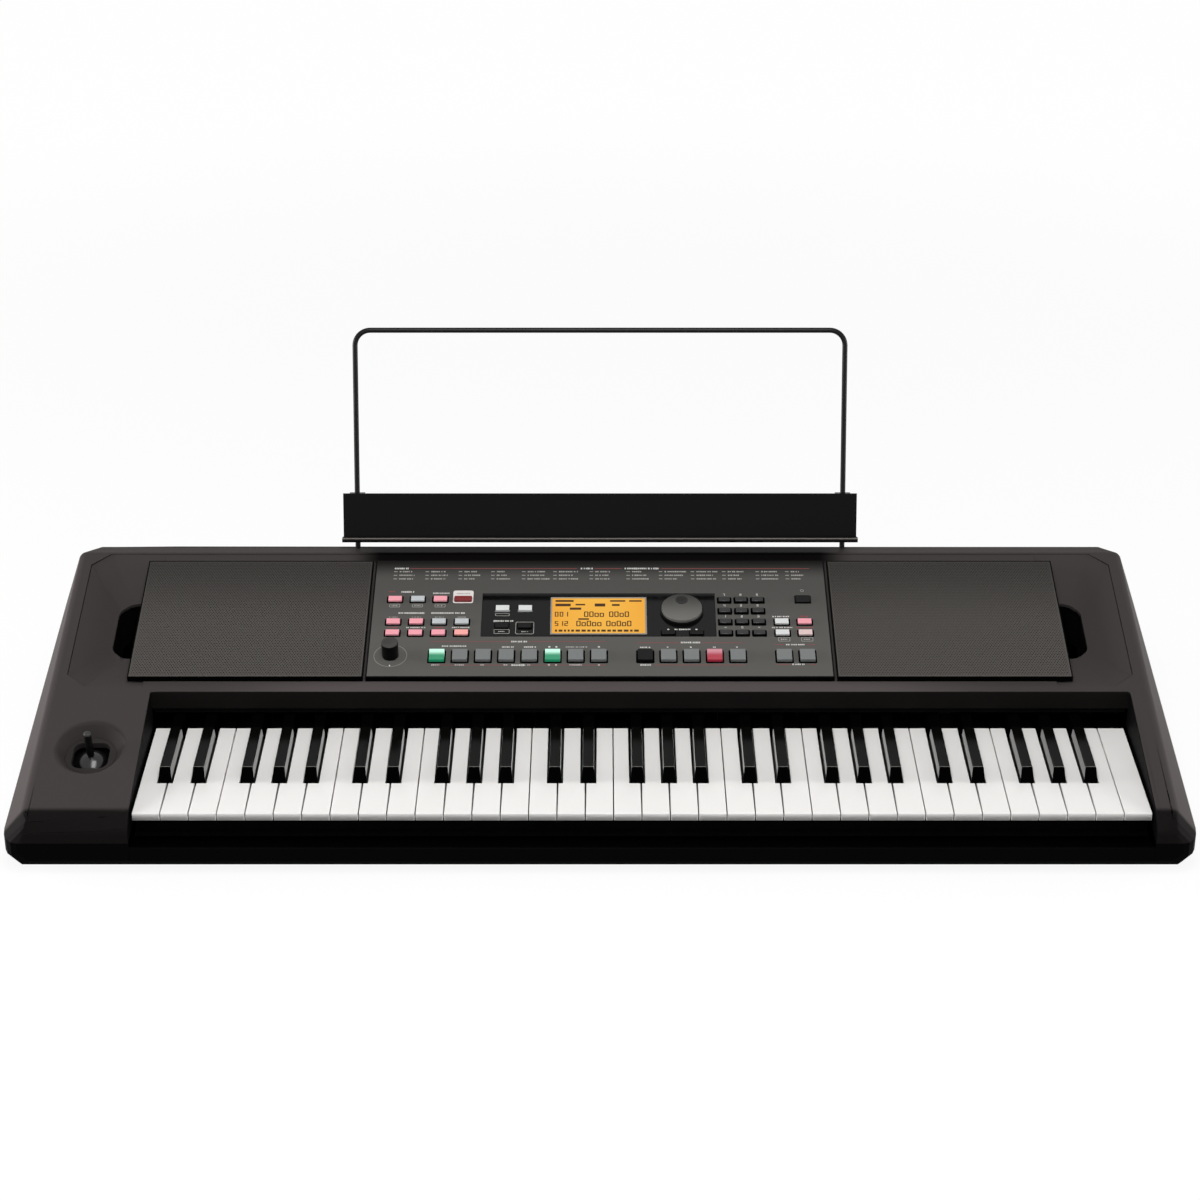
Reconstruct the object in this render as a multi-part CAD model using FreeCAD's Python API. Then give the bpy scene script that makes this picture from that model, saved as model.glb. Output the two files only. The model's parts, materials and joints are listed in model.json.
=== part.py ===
"""Arranger keyboard: 61 keys, two speakers, a control panel, a joystick and a lift-off music rest.

Millimetres. +X is the player's right, +Y points away from the player, +Z is up.
The origin lies on the table, below the middle of the whole outline.
"""
import FreeCAD, Part
import math
import os

from FreeCAD import Vector

# Case
left_cheek_width = 105.8
right_cheek_width = 36.2
case_wall = 3.0
plate_clearance = 0.3
ledge_width = 6.0
ledge_thickness = 2.0
foot_height = 10.0
foot_radius = 11.0
front_edge_rise = 4.0
low_edge_chamfer = 8.0
side_lean_in = 18.5
parting_rise = 21.2
parting_angle = 7.95
front_corner_inset = 13.0
front_corner_run = 20.0
front_corner_steps = 4
back_corner_inset = 14.0
back_strip_depth = 26.0
back_strip_drop = 6.1
back_slope_run = 25.0
back_shoulder_rise = 9.0

# Sloping top, measured from the key fronts
top_tilt = 13.4
cheek_rise = 2.7
facet_run = 14.0
facet_outer_run = 3.5
facet_drop = 10.5

# Keys
octaves = 5
white_pitch = 23.5
white_gap = 0.9
white_length = 142.0
white_lip_height = 7.0
white_lip_depth = 12.0
white_front_round = 1.2
key_body_height = 11.0
key_front_setback = 14.0
key_side_gap = 2.0
well_corner_round = 2.0
black_base_width = 11.6
black_top_width = 9.0
black_height = 12.0
black_setback = 49.4
black_front_slope = 6.0
black_edge_round = 0.9
black_side_gap = 1.0
black_under_fallboard = 8.0
key_dip_angle = 3.0

# Key tails, pivot rod and frame
key_tail_height = 7.0
tail_side_inset = 1.6
pivot_setback = 43.0
tail_behind_pivot = 14.0
rod_radius = 2.0
running_clearance = 0.05
rod_overhang = 6.0
ear_thickness = 2.0
ear_half_depth = 6.0
frame_plate = 2.0
frame_floor_gap = 7.0
frame_drop = 21.0
frame_front_run = 16.0
frame_rib = 3.0
frame_side_gap = 0.5
felt_thickness = 3.0
felt_width = 12.0
front_felt_run = 24.0
rear_felt_run = 4.0
rear_felt_width = 7.0
press_clearance = 0.4
dust_felt_thickness = 1.5
dust_felt_height = 17.0
black_top_clearance = 2.5
spring_thickness = 0.6
spring_width = 5.0
spring_rail_run = 17.0
spring_tip_run = 8.0
spring_rise = 4.0
spring_clearance = 0.6

# Key contacts
contact_run = 92.0
contact_board_depth = 32.0
board_thickness = 1.6
contact_rib_height = 6.4
contact_strip_thickness = 1.0
contact_strip_width = 16.0
dome_foot_radius = 5.0
dome_top_radius = 3.0

# Fallboard and front rail
fallboard_gap = 20.0
rail_height = 12.5
rail_foot_depth = 15.0
rail_foot_thickness = 2.5
rail_end_gap = 0.2

# Control panel and grilles, in the slope's own x, s (up the slope) and n (square to it)
shelf_depth = 14.5
panel_length = 159.0
panel_half_width = 204.5
panel_rise = 4.0
seat_depth = 1.0
seat_front_margin = 7.5
seat_back_margin = 15.0
crest_ridge = 1.7
panel_reveal = 1.8
seat_shoulder = 15.0
side_border = 31.0
seat_corner = 16.0
panel_opening_margin = 7.0
grille_gap = 2.4
recess_width = 53.0
grille_skin = 1.5

# Speakers
speaker_ring_radius = 62.0
speaker_hole_radius = 53.0
speaker_ring_thickness = 3.0
basket_depth = 35.0
basket_wall = 1.5
basket_back_radius = 30.0
magnet_radius = 26.0
magnet_height = 12.5
cone_rim_width = 8.0
cone_thickness = 1.0
cone_depth = 20.0
cone_throat_radius = 12.0

# Bass slots at the outer sides of the grilles
slot_border = 31.0
slot_under_grille = 14.0
slot_length = 75.0
slot_corner = 11.0
recess_depth = 12.0
duct_length = 40.0
duct_wall = 2.0

# Panel grid: places across are counted in columns, places up the slope in rows
panel_columns = 18
left_column_margin = 20.3
right_column_margin = 22.2
panel_rows = 10.6

# Display
cover_first_column = 3.87
cover_last_column = 14.1
cover_first_row = 3.62
cover_last_row = 7.52
cover_thickness = 1.6
display_column = 8.98
display_row = 5.46
display_columns = 4.13
display_rows = 3.27
cover_clearance = 0.2

# Buttons
mode_row = 6.97
part_upper_row = 4.9
part_lower_row = 3.9
lower_row = 1.82
style_first_column = 2
style_count = 8
set_first_column = 11
set_count = 5
right_first_column = 17
keypad_first_column = 14.53
keypad_column_step = 0.732
keypad_first_row = 6.9
keypad_row_step = 1.0
power_row = 6.94
menu_first_column = 4.76
menu_upper_row = 6.1
menu_lower_row = 4.53
dial_button_columns = 1.23
dial_button_row = 3.89
large_button_gap = 7.2
small_button_gap = 8.4
record_button_gap = 4.8
keypad_button_gap = 4.7
small_button_length = 6.6
large_button_length = 14.0
keypad_button_length = 6.0
power_button_width = 13.3
power_button_length = 9.2
menu_button_length = 7.0
dial_button_length = 5.4
small_button_proud = 1.8
large_button_proud = 3.0
button_edge_round = 0.6
button_clearance = 0.8
button_flange = 1.6
button_flange_thickness = 1.5
button_flange_gap = 0.3
button_travel = 1.2
switch_body = 6.0
switch_height = 3.5
plunger_radius = 1.75
plunger_slack = 0.1

# Panel board and its posts
panel_board_drop = 8.0
panel_board_margin = 10.0
post_radius = 3.5
post_margin = 5.5
front_post_columns = (1, 10, 16)
back_post_columns = (0, 10, 18)

# Volume knob and value dial
knob_column = 0
knob_row = 1.88
knob_base_radius = 7.2
knob_top_radius = 7.5
knob_height = 15.3
knob_dish_radius = 5.6
knob_dish_depth = 0.8
dial_column = 12.64
dial_row = 5.88
dial_radius = 18.1
dial_skirt_radius = 19.4
dial_skirt_height = 1.6
dial_height = 4.6
dimple_radius = 5.6
dimple_depth = 1.3
dimple_offset = 9.6
control_lift = 0.5
stem_radius = 3.0
bushing_radius = 4.6
control_body = 13.0
control_edge_round = 0.8

# Joystick, at its own place on the left cheek
stick_from_well = 42.4
stick_s = 73.8
dish_radius = 30.2
dish_floor_radius = 22.0
dish_depth = 7.7
ring_thickness = 3.0
ring_clearance = 0.3
ring_hole_width = 31.0
ring_hole_round = 8.0
housing_flange_radius = 27.0
housing_flange_thickness = 2.5
housing_width = 52.0
housing_wall = 3.0
housing_height = 26.0
gimbal_depth = 24.0
cradle_width = 38.0
cradle_opening = 30.0
cradle_height = 6.0
gimbal_pin_radius = 2.0
dome_radius = 17.0
dome_wall = 1.5
dome_edge_angle = 55.0
stick_radius = 3.2
stick_top = 19.0
stick_hub_radius = 4.0
stick_hub_width = 20.0

# Music rest
rest_behind_crest = 20.0
rest_lean = 17.0
rest_reach = 201.4
rest_leg_spacing = 448.6
wire_radius = 2.4
wire_bend_radius = 14.0
socket_depth = 26.0
socket_boss_radius = 6.0
socket_clearance = 0.1
tray_overhang = 12.7
tray_foot = 6.5
tray_height = 44.8
tray_thickness = 2.4
ledge_depth = 8.6
ledge_thickness = 4.4
ledge_overhang = 1.0
ledge_round = 1.6
clip_width = 14.0
clip_depth = 7.0

# Back sockets and boards
jack_first_x = 180.0
jack_pitch = 35.0
jack_count = 2
socket_row_z = 45.0
jack_bore_radius = 3.25
jack_bore_depth = 26.0
jack_nose_radius = 5.6
jack_body_width = 16.0
jack_end_wall = 3.0
usb_x = 255.0
usb_width = 12.0
usb_height = 11.0
usb_depth = 16.0
usb_clearance = 0.2
usb_mouth_width = 8.6
usb_mouth_height = 7.8
usb_mouth_depth = 10.0
inlet_x = 292.0
inlet_width = 11.0
inlet_depth = 14.0
inlet_bore_radius = 2.9
inlet_bore_depth = 10.0
inlet_pin_radius = 1.0
inlet_pin_length = 8.0
main_board_half_width = 140.0
main_board_depth = 110.0
main_board_back_gap = 18.0
standoff_radius = 4.0
standoff_height = 6.0
standoff_margin = 8.0
chip_size = 16.0
chip_height = 2.2

# Screws, in towers that rise from the floor
tower_radius = 6.0
tower_height = 17.0
screw_head_radius = 4.0
screw_head_height = 2.5
screw_head_depth = 8.0
screw_radius = 1.6
screw_length = 26.0
screw_clearance = 0.1
cheek_screw_inset = 20.0
cheek_screw_runs = (15.0, 120.0)
back_screw_behind_crest = 15.0
back_screw_inner_x = 158.0
back_screw_side_inset = 51.0

# Feet
foot_side_inset = 70.0
foot_front_run = 45.0
foot_back_inset = 42.0

# Places worked out from the sizes
tilt = math.radians(top_tilt)
lean = math.radians(rest_lean)

# Across
white_count = 7 * octaves + 1
key_span = white_count * white_pitch
case_width = key_span + 2 * key_side_gap + left_cheek_width + right_cheek_width
key_block_shift = (left_cheek_width - right_cheek_width) / 2
key_left_x = key_block_shift - key_span / 2
key_right_x = key_block_shift + key_span / 2
well_left_x = key_left_x - key_side_gap
well_right_x = key_right_x + key_side_gap
seat_half_width = case_width / 2 - side_border
grille_outer_x = seat_half_width - recess_width
grille_inner_x = panel_half_width + grille_gap
speaker_x = (grille_inner_x + grille_outer_x) / 2
slot_outer_x = seat_half_width - slot_border
slot_inner_x = grille_outer_x - slot_under_grille
stick_x = well_left_x - stick_from_well
back_screw_x = (back_screw_inner_x, case_width / 2 - back_screw_side_inset)
tray_width = rest_leg_spacing + 2 * tray_overhang
column_step = (2 * panel_half_width - left_column_margin - right_column_margin) / panel_columns

# Up the slope, from the key fronts
panel_front_s = white_length / math.cos(tilt) + shelf_depth
panel_back_s = panel_front_s + panel_length
row_step = panel_length / panel_rows
seat_front_s = panel_front_s - seat_front_margin
seat_back_s = panel_back_s + seat_back_margin
speaker_s = (panel_front_s + panel_back_s) / 2
slot_front_s = speaker_s - slot_length / 2
slot_back_s = speaker_s + slot_length / 2
top_run = (seat_back_s + crest_ridge) * math.cos(tilt)

# From front to back
case_depth = key_front_setback + top_run + back_strip_depth + back_slope_run
rest_run = top_run + rest_behind_crest
rest_back_run = rest_run + rest_reach * math.sin(lean) + wire_radius
overall_depth = max(case_depth, key_front_setback + rest_back_run)
front_y = -overall_depth / 2
back_y = front_y + case_depth
key_front_y = front_y + key_front_setback
fallboard_y = key_front_y + white_length
pivot_y = fallboard_y + pivot_setback
tail_end_y = pivot_y + tail_behind_pivot
crest_y = key_front_y + top_run
back_edge_y = crest_y + back_strip_depth
rest_foot_y = key_front_y + rest_run

# Heights
floor_z = foot_height + case_wall
frame_z = floor_z + frame_floor_gap
frame_top_z = frame_z + frame_plate
key_low_z = frame_z + frame_drop
key_plane_z = key_low_z + key_body_height
tail_top_z = key_low_z + key_tail_height
pivot_z = key_low_z + key_tail_height / 2
slope_z = key_plane_z + cheek_rise
crest_z = slope_z + top_run * math.tan(tilt)
back_edge_z = crest_z - back_strip_drop
parting_front_z = foot_height + parting_rise
back_shoulder_z = parting_front_z + case_depth * math.tan(math.radians(parting_angle)) + back_shoulder_rise
facet_low_z = key_plane_z - facet_drop
rest_foot_z = crest_z - back_strip_drop * rest_behind_crest / back_strip_depth
tower_top_z = floor_z + tower_height
screw_head_z = foot_height + screw_head_depth
dish_bottom = dish_depth + ring_thickness
panel_base_n = -seat_depth
far = 4 * case_width

slope_frame = FreeCAD.Placement(Vector(0, key_front_y, slope_z), FreeCAD.Rotation(Vector(1, 0, 0), top_tilt))
rest_frame = FreeCAD.Placement(Vector(0, rest_foot_y, rest_foot_z), FreeCAD.Rotation(Vector(1, 0, 0), -rest_lean))
parting_frame = FreeCAD.Placement(Vector(0, front_y, parting_front_z), FreeCAD.Rotation(Vector(1, 0, 0), parting_angle))


# Small helpers

def box(x0, x1, y0, y1, z0, z1):
    return Part.makeBox(x1 - x0, y1 - y0, z1 - z0, Vector(x0, y0, z0))


def bar(radius, start, end):
    along = end - start
    return Part.makeCylinder(radius, along.Length, start, along)


def prism(points, along):
    corners = [Vector(*point) for point in points]
    return Part.Face(Part.makePolygon(corners + corners[:1])).extrude(along)


def ruled(sections):
    wires = []
    for section in sections:
        corners = [Vector(*point) for point in section]
        wires.append(Part.makePolygon(corners + corners[:1]))
    return Part.makeLoft(wires, True, True)


def turned(profile):
    corners = [Vector(radius, 0, height) for radius, height in profile]
    face = Part.Face(Part.makePolygon(corners + corners[:1]))
    return face.revolve(Vector(0, 0, 0), Vector(0, 0, 1), 360)


def placed(shape, frame):
    moved = shape.copy()
    moved.Placement = frame.multiply(moved.Placement)
    return moved


def on_slope(shape):
    return placed(shape, slope_frame)


def on_rest(shape):
    return placed(shape, rest_frame)


def shifted(shape, x, y, z):
    moved = shape.copy()
    moved.translate(Vector(x, y, z))
    return moved


def joined(shapes):
    return shapes[0].multiFuse(shapes[1:]).removeSplitter()


def rounded_top(shape, radius, height):
    edges = []
    for edge in shape.Edges:
        if all(abs(vertex.Z - height) < 1e-6 for vertex in edge.Vertexes):
            edges.append(edge)
    return shape.makeFillet(radius, edges)


def save(name, solids):
    Part.makeCompound(solids).exportStep(os.path.join("parts", name + ".step"))


# Case shells

def top_z(y):
    if y <= crest_y:
        return slope_z + (y - key_front_y) * math.tan(tilt)
    if y <= back_edge_y:
        return crest_z - back_strip_drop * (y - crest_y) / back_strip_depth
    return back_edge_z + (back_shoulder_z - back_edge_z) * (y - back_edge_y) / (back_y - back_edge_y)


def parting_z(y):
    return parting_front_z + (y - front_y) * math.tan(math.radians(parting_angle))


def case_section(y, narrowing, rise, inset):
    side = case_width / 2 - narrowing - inset
    top = side - side_lean_in
    low = foot_height + rise + inset
    base = side - low_edge_chamfer
    step = low + low_edge_chamfer
    high = top_z(y) - inset / math.cos(tilt)
    middle = parting_z(y)
    right = [(base, low), (side, step), (side, middle), (top, high)]
    left = [(-x, z) for x, z in reversed(right)]
    return [(x, y, z) for x, z in right + left]


def case_body(inset):
    sections = []
    for step in range(front_corner_steps + 1):
        turn = math.radians(90.0 * step / front_corner_steps)
        y = front_y + inset + front_corner_run * (1 - math.cos(turn))
        rise = front_edge_rise if step == 0 else 0
        sections.append(case_section(y, front_corner_inset * (1 - math.sin(turn)), rise, inset))
    sections.append(case_section(crest_y, 0, 0, inset))
    sections.append(case_section(back_edge_y - inset, back_corner_inset, 0, inset))
    sections.append(case_section(back_y - inset, back_corner_inset + low_edge_chamfer / 2, 0, inset))
    return ruled(sections)


def above_parting():
    return placed(box(-far, far, -far, far, 0, far), parting_frame)


def below_parting():
    return placed(box(-far, far, -far, far, -far, 0), parting_frame)


def seat_outline(n):
    x = seat_half_width
    middle_x = grille_inner_x
    middle_s = panel_front_s - panel_reveal
    c = seat_corner
    right = [(middle_x, middle_s), (middle_x + seat_shoulder, seat_front_s), (x - c, seat_front_s),
             (x, seat_front_s + c), (x, seat_back_s - c), (x - c, seat_back_s)]
    left = [(-a, b) for a, b in reversed(right)]
    return [(a, b, n) for a, b in right + left]


def recess_outline(n, grow, inner):
    if inner:
        x0, x1 = slot_outer_x + grow, slot_inner_x - grow
        s0, s1 = slot_front_s - grow, slot_back_s + grow
        c = slot_corner
    else:
        x0, x1 = seat_half_width + grow, slot_inner_x - grow
        s0, s1 = seat_front_s - grow, seat_back_s + grow
        c = seat_corner
    return [(-x1, s0, n), (-x1, s1, n), (-x0 + c, s1, n), (-x0, s1 - c, n), (-x0, s0 + c, n), (-x0 + c, s0, n)]


def both_sides(shape):
    return [shape, shape.mirror(Vector(0, 0, 0), Vector(1, 0, 0))]


def recess_tubs():
    top = recess_outline(panel_base_n, case_wall, False)
    bottom = recess_outline(-recess_depth - case_wall, case_wall, True)
    return [on_slope(tub) for tub in both_sides(ruled([top, bottom]))]


def recess_cuts():
    top = recess_outline(panel_base_n, 0, False)
    bottom = recess_outline(-recess_depth, 0, True)
    dish = ruled([top, bottom])
    slot = prism(recess_outline(-recess_depth - 2 * case_wall, 0, True), Vector(0, 0, 2 * case_wall))
    return [on_slope(cut) for shape in (dish, slot) for cut in both_sides(shape)]


def joystick_seat(grow, depth):
    cone = turned([(0, 0), (dish_radius + grow, 0), (dish_floor_radius + grow, -depth), (0, -depth)])
    return on_slope(shifted(cone, stick_x, stick_s, 0))


def screw_places():
    places = []
    for side in (-1, 1):
        for run in cheek_screw_runs:
            places.append((side * (case_width / 2 - cheek_screw_inset), key_front_y + run))
        for x in back_screw_x:
            places.append((side * x, crest_y + back_screw_behind_crest))
    return places


def rest_leg_places():
    return (-rest_leg_spacing / 2, rest_leg_spacing / 2)


def front_facet(side, inset):
    x_inner = side * (well_right_x if side > 0 else -well_left_x) - side * case_wall
    x_outer = side * case_width / 2

    def section(x, run):
        edge_y = front_y + run + inset
        edge_z = top_z(edge_y) - inset
        low_y = front_y + inset
        low_z = facet_low_z - inset
        return [(x, edge_y, edge_z), (x, low_y, low_z), (x, low_y - facet_run, low_z),
                (x, low_y - facet_run, crest_z), (x, edge_y, crest_z)]
    return ruled([section(x_inner, facet_run), section(x_outer, facet_outer_run)])


def faceted_body(inset):
    return case_body(inset).cut([front_facet(-1, inset), front_facet(1, inset)])


def key_well():
    well = box(well_left_x, well_right_x, front_y - far, fallboard_y, -far, far)
    edges = []
    for edge in well.Edges:
        ends = edge.Vertexes
        if abs(edge.CenterOfMass.y - fallboard_y) < 1e-6 and abs(ends[0].Z - ends[1].Z) > 1:
            edges.append(edge)
    return well.makeFillet(well_corner_round, edges)


def make_upper_case(outer, inner):
    walls = [
        box(well_left_x - case_wall, well_left_x, front_y, fallboard_y + case_wall, 0, far),
        box(well_right_x, well_right_x + case_wall, front_y, fallboard_y + case_wall, 0, far),
        box(well_left_x, well_right_x, fallboard_y, fallboard_y + case_wall, key_plane_z + fallboard_gap, far),
    ]
    shell = outer.cut(inner.cut(joined(walls))).common(above_parting())
    bosses = []
    for x, y in screw_places():
        bosses.append(bar(tower_radius, Vector(x, y, tower_top_z), Vector(x, y, top_z(y))))
    for x in rest_leg_places():
        boss = bar(socket_boss_radius, Vector(x, 0, -socket_depth - case_wall), Vector(x, 0, case_wall))
        bosses.append(on_rest(boss))
    bosses = [boss.common(outer) for boss in bosses]
    shell = joined([shell] + recess_tubs() + [joystick_seat(case_wall, dish_bottom)] + bosses)
    panel_margin = panel_opening_margin
    cuts = [
        key_well(),
        on_slope(prism(seat_outline(panel_base_n), Vector(0, 0, crest_z))),
        on_slope(box(-panel_half_width + panel_margin, panel_half_width - panel_margin,
                     panel_front_s + panel_margin, panel_back_s - panel_margin, -2 * case_wall, crest_z)),
        joystick_seat(0, dish_depth),
        on_slope(bar(dish_floor_radius, Vector(stick_x, stick_s, -2 * dish_bottom), Vector(stick_x, stick_s, 0))),
    ]
    for x in (-speaker_x, speaker_x):
        hole = bar(speaker_hole_radius, Vector(x, speaker_s, -2 * case_wall), Vector(x, speaker_s, crest_z))
        cuts.append(on_slope(hole))
    for x in rest_leg_places():
        bore = bar(wire_radius + socket_clearance, Vector(x, 0, -socket_depth), Vector(x, 0, 2 * case_wall))
        cuts.append(on_rest(bore))
    for x, y in screw_places():
        start = Vector(x, y, tower_top_z - screw_clearance)
        cuts.append(bar(screw_radius + screw_clearance, start, Vector(x, y, screw_head_z + screw_length + 1)))
    return shell.cut(cuts + recess_cuts())


def lowered_body(inset):
    return shifted(faceted_body(inset), 0, 0, -inset)


def layer(low, high):
    return box(-far, far, -far, far, low, high)


def make_lower_case(outer, inner):
    wall = outer.cut([inner, lowered_body(case_wall)]).common(below_parting())
    ledge = outer.cut(lowered_body(case_wall + ledge_width)).common(layer(floor_z, floor_z + ledge_thickness))
    rail_seat = foot_height + front_edge_rise
    cuts = [box(well_left_x, well_right_x, front_y - far, key_front_y, rail_seat, far)]
    for x in jack_places():
        cuts.append(socket_bar(jack_nose_radius + screw_clearance, x, 2 * case_wall))
    cuts.append(socket_box(usb_x, usb_width + 2 * usb_clearance, usb_height + 2 * usb_clearance, 2 * case_wall))
    cuts.append(socket_bar(inlet_bore_radius, inlet_x, 2 * case_wall))
    return joined([wall, ledge]).cut(cuts)


def make_bottom_plate():
    plate = lowered_body(case_wall + plate_clearance).common(layer(foot_height, floor_z))
    pieces = [plate]
    for run in (front_felt_run, contact_run, white_length + pivot_setback):
        y = key_front_y + run
        pieces.append(box(key_left_x, key_right_x, y, y + frame_rib, foot_height, frame_z))
    for x, y in screw_places():
        pieces.append(bar(tower_radius, Vector(x, y, foot_height), Vector(x, y, tower_top_z)))
    for x, y in standoff_places():
        pieces.append(bar(standoff_radius, Vector(x, y, foot_height), Vector(x, y, floor_z + standoff_height)))
    cuts = []
    for x, y in screw_places():
        cuts.append(bar(screw_head_radius + screw_clearance, Vector(x, y, 0), Vector(x, y, screw_head_z)))
        cuts.append(bar(screw_radius + screw_clearance, Vector(x, y, 0), Vector(x, y, tower_top_z + 1)))
    return joined(pieces).cut(cuts)


def make_front_rail():
    low = foot_height + front_edge_rise
    x0 = well_left_x + rail_end_gap
    x1 = well_right_x - rail_end_gap
    face = box(x0, x1, front_y, front_y + case_wall, low, low + rail_height)
    foot = box(x0, x1, front_y, front_y + rail_foot_depth, low, low + rail_foot_thickness)
    return joined([face, foot])


# Sockets in the back wall

def jack_places():
    return [jack_first_x + jack_pitch * index for index in range(jack_count)]


def socket_bar(radius, x, depth):
    return bar(radius, Vector(x, back_y - depth, socket_row_z), Vector(x, back_y, socket_row_z))


def socket_box(x, width, height, depth):
    return box(x - width / 2, x + width / 2, back_y - depth, back_y,
               socket_row_z - height / 2, socket_row_z + height / 2)


def make_jack(x):
    half = jack_body_width / 2
    wall_y = back_y - case_wall
    body = box(x - half, x + half, back_y - jack_bore_depth - jack_end_wall, wall_y,
               socket_row_z - half, socket_row_z + half)
    nose = socket_bar(jack_nose_radius, x, 2 * case_wall)
    return joined([body, nose]).cut(socket_bar(jack_bore_radius, x, jack_bore_depth))


def make_usb_socket():
    body = socket_box(usb_x, usb_width, usb_height, case_wall + usb_depth)
    return body.cut(socket_box(usb_x, usb_mouth_width, usb_mouth_height, case_wall + usb_mouth_depth))


def make_dc_inlet():
    body = socket_box(inlet_x, inlet_width, inlet_width, case_wall + inlet_depth)
    body = body.cut(socket_box(inlet_x, inlet_width, inlet_width, case_wall))
    bottom = case_wall + inlet_bore_depth
    body = body.cut(socket_bar(inlet_bore_radius, inlet_x, bottom))
    pin = bar(inlet_pin_radius, Vector(inlet_x, back_y - bottom - 1, socket_row_z),
              Vector(inlet_x, back_y - bottom + inlet_pin_length, socket_row_z))
    return joined([body, pin])


# Keys

def black_centres():
    three = 3 * white_pitch / 5
    four = 4 * white_pitch / 7
    start = 3 * white_pitch
    return [1.5 * three, 3.5 * three, start + 1.5 * four, start + 3.5 * four, start + 5.5 * four]


black_left_of = {1: 0, 2: 1, 4: 2, 5: 3, 6: 4}
black_right_of = {0: 0, 1: 1, 3: 2, 4: 3, 5: 4}


def white_bounds(index, last):
    left = index * white_pitch + white_gap / 2
    right = (index + 1) * white_pitch - white_gap / 2
    reach = black_base_width / 2 + black_side_gap
    tail_left = left
    tail_right = right
    if index in black_left_of:
        tail_left = black_centres()[black_left_of[index]] + reach
    if index in black_right_of and not last:
        tail_right = black_centres()[black_right_of[index]] - reach
    return left, right, tail_left, tail_right


def pivot_bore(x0, x1):
    return bar(rod_radius + running_clearance, Vector(x0, pivot_y, pivot_z), Vector(x1, pivot_y, pivot_z))


def white_key(octave_x, index, last=False):
    left, right, tail_left, tail_right = [octave_x + value for value in white_bounds(index, last)]
    notch_y = key_front_y + black_setback - black_side_gap
    head = box(left, right, key_front_y, notch_y, key_low_z, key_plane_z)
    neck = box(tail_left, tail_right, key_front_y, fallboard_y, key_low_z, key_plane_z)
    tail = box(tail_left + tail_side_inset, tail_right - tail_side_inset,
               fallboard_y - case_wall, tail_end_y, key_low_z, tail_top_z)
    key = joined([head, neck, tail])
    key = key.cut(box(left, right, key_front_y, key_front_y + white_lip_depth,
                      key_low_z, key_plane_z - white_lip_height))
    edges = []
    for edge in key.Edges:
        middle = edge.CenterOfMass
        if abs(middle.y - key_front_y) < 1e-6 and abs(middle.z - key_plane_z) < 1e-6:
            edges.append(edge)
    key = key.makeFillet(white_front_round, edges)
    return key.cut(pivot_bore(left, right))


def black_key(octave_x, index):
    x = octave_x + black_centres()[index]
    half = black_base_width / 2
    top = black_top_width / 2
    y0 = key_front_y + black_setback
    y1 = fallboard_y + black_under_fallboard
    z1 = key_plane_z + black_height
    base_points = [(x - half, y0, key_plane_z), (x + half, y0, key_plane_z),
                   (x + half, y1, key_plane_z), (x - half, y1, key_plane_z)]
    top_points = [(x - top, y0 + black_front_slope, z1), (x + top, y0 + black_front_slope, z1),
                  (x + top, y1, z1), (x - top, y1, z1)]
    cap = rounded_top(ruled([base_points, top_points]), black_edge_round, z1)
    body = box(x - half, x + half, y0, y1, key_low_z, key_plane_z)
    tail = box(x - half + tail_side_inset, x + half - tail_side_inset, y1 - case_wall, tail_end_y,
               key_low_z, tail_top_z)
    return joined([cap, body, tail]).cut(pivot_bore(x - half, x + half))


def octave_x(octave):
    return key_left_x + octave * 7 * white_pitch


def tail_centres():
    centres = []
    for octave in range(octaves):
        start = octave_x(octave)
        centres.append([])
        for index in range(7):
            bounds = white_bounds(index, False)
            centres[-1].append(start + (bounds[2] + bounds[3]) / 2)
        for centre in black_centres():
            centres[-1].append(start + centre)
    bounds = white_bounds(0, True)
    centres[-1].append(octave_x(octaves) + (bounds[2] + bounds[3]) / 2)
    return centres


def save_keys():
    for octave in range(octaves):
        start = octave_x(octave)
        name = "octave_%d_" % (octave + 1)
        save(name + "keys_c_e_g_b", [white_key(start, index) for index in (0, 2, 4, 6)])
        save(name + "keys_d_f_a", [white_key(start, index) for index in (1, 3, 5)])
        save(name + "black_keys", [black_key(start, index) for index in range(5)])
    save("top_c_key", [white_key(octave_x(octaves), 0, True)])


# Key bed

def key_drop(run):
    return (white_length + pivot_setback - run) * math.sin(math.radians(key_dip_angle))


def front_felt_top():
    return key_low_z - key_drop(front_felt_run) - press_clearance


def ear_places():
    places = [key_left_x - ear_thickness / 2]
    for octave in range(octaves):
        places.append(octave_x(octave) + 3 * white_pitch)
        places.append(octave_x(octave) + 7 * white_pitch)
    places.append(key_right_x + ear_thickness / 2)
    return places


def make_keybed_frame():
    x0 = well_left_x + frame_side_gap
    x1 = well_right_x - frame_side_gap
    y0 = key_front_y + frame_front_run
    y1 = pivot_y + spring_rail_run + frame_rib
    felt_y = key_front_y + front_felt_run
    contact_y = key_front_y + contact_run
    rear_y = pivot_y + rear_felt_run
    rear_top = key_low_z - running_clearance - felt_thickness
    pieces = [
        box(x0, x1, y0, y1, frame_z, frame_top_z),
        box(x0, x1, felt_y, felt_y + felt_width, frame_z, front_felt_top() - felt_thickness),
        box(x0, x1, contact_y, contact_y + frame_rib, frame_z, frame_top_z + contact_rib_height),
        box(x0, x1, contact_y + contact_board_depth - frame_rib, contact_y + contact_board_depth,
            frame_z, frame_top_z + contact_rib_height),
        box(x0, x1, rear_y, rear_y + rear_felt_width, frame_z, rear_top),
    ]
    for x in ear_places():
        pieces.append(box(x - ear_thickness / 2, x + ear_thickness / 2, pivot_y - ear_half_depth,
                          pivot_y + ear_half_depth, frame_z, tail_top_z))
    return joined(pieces).cut(pivot_bore(x0 - 1, x1 + 1))


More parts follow.
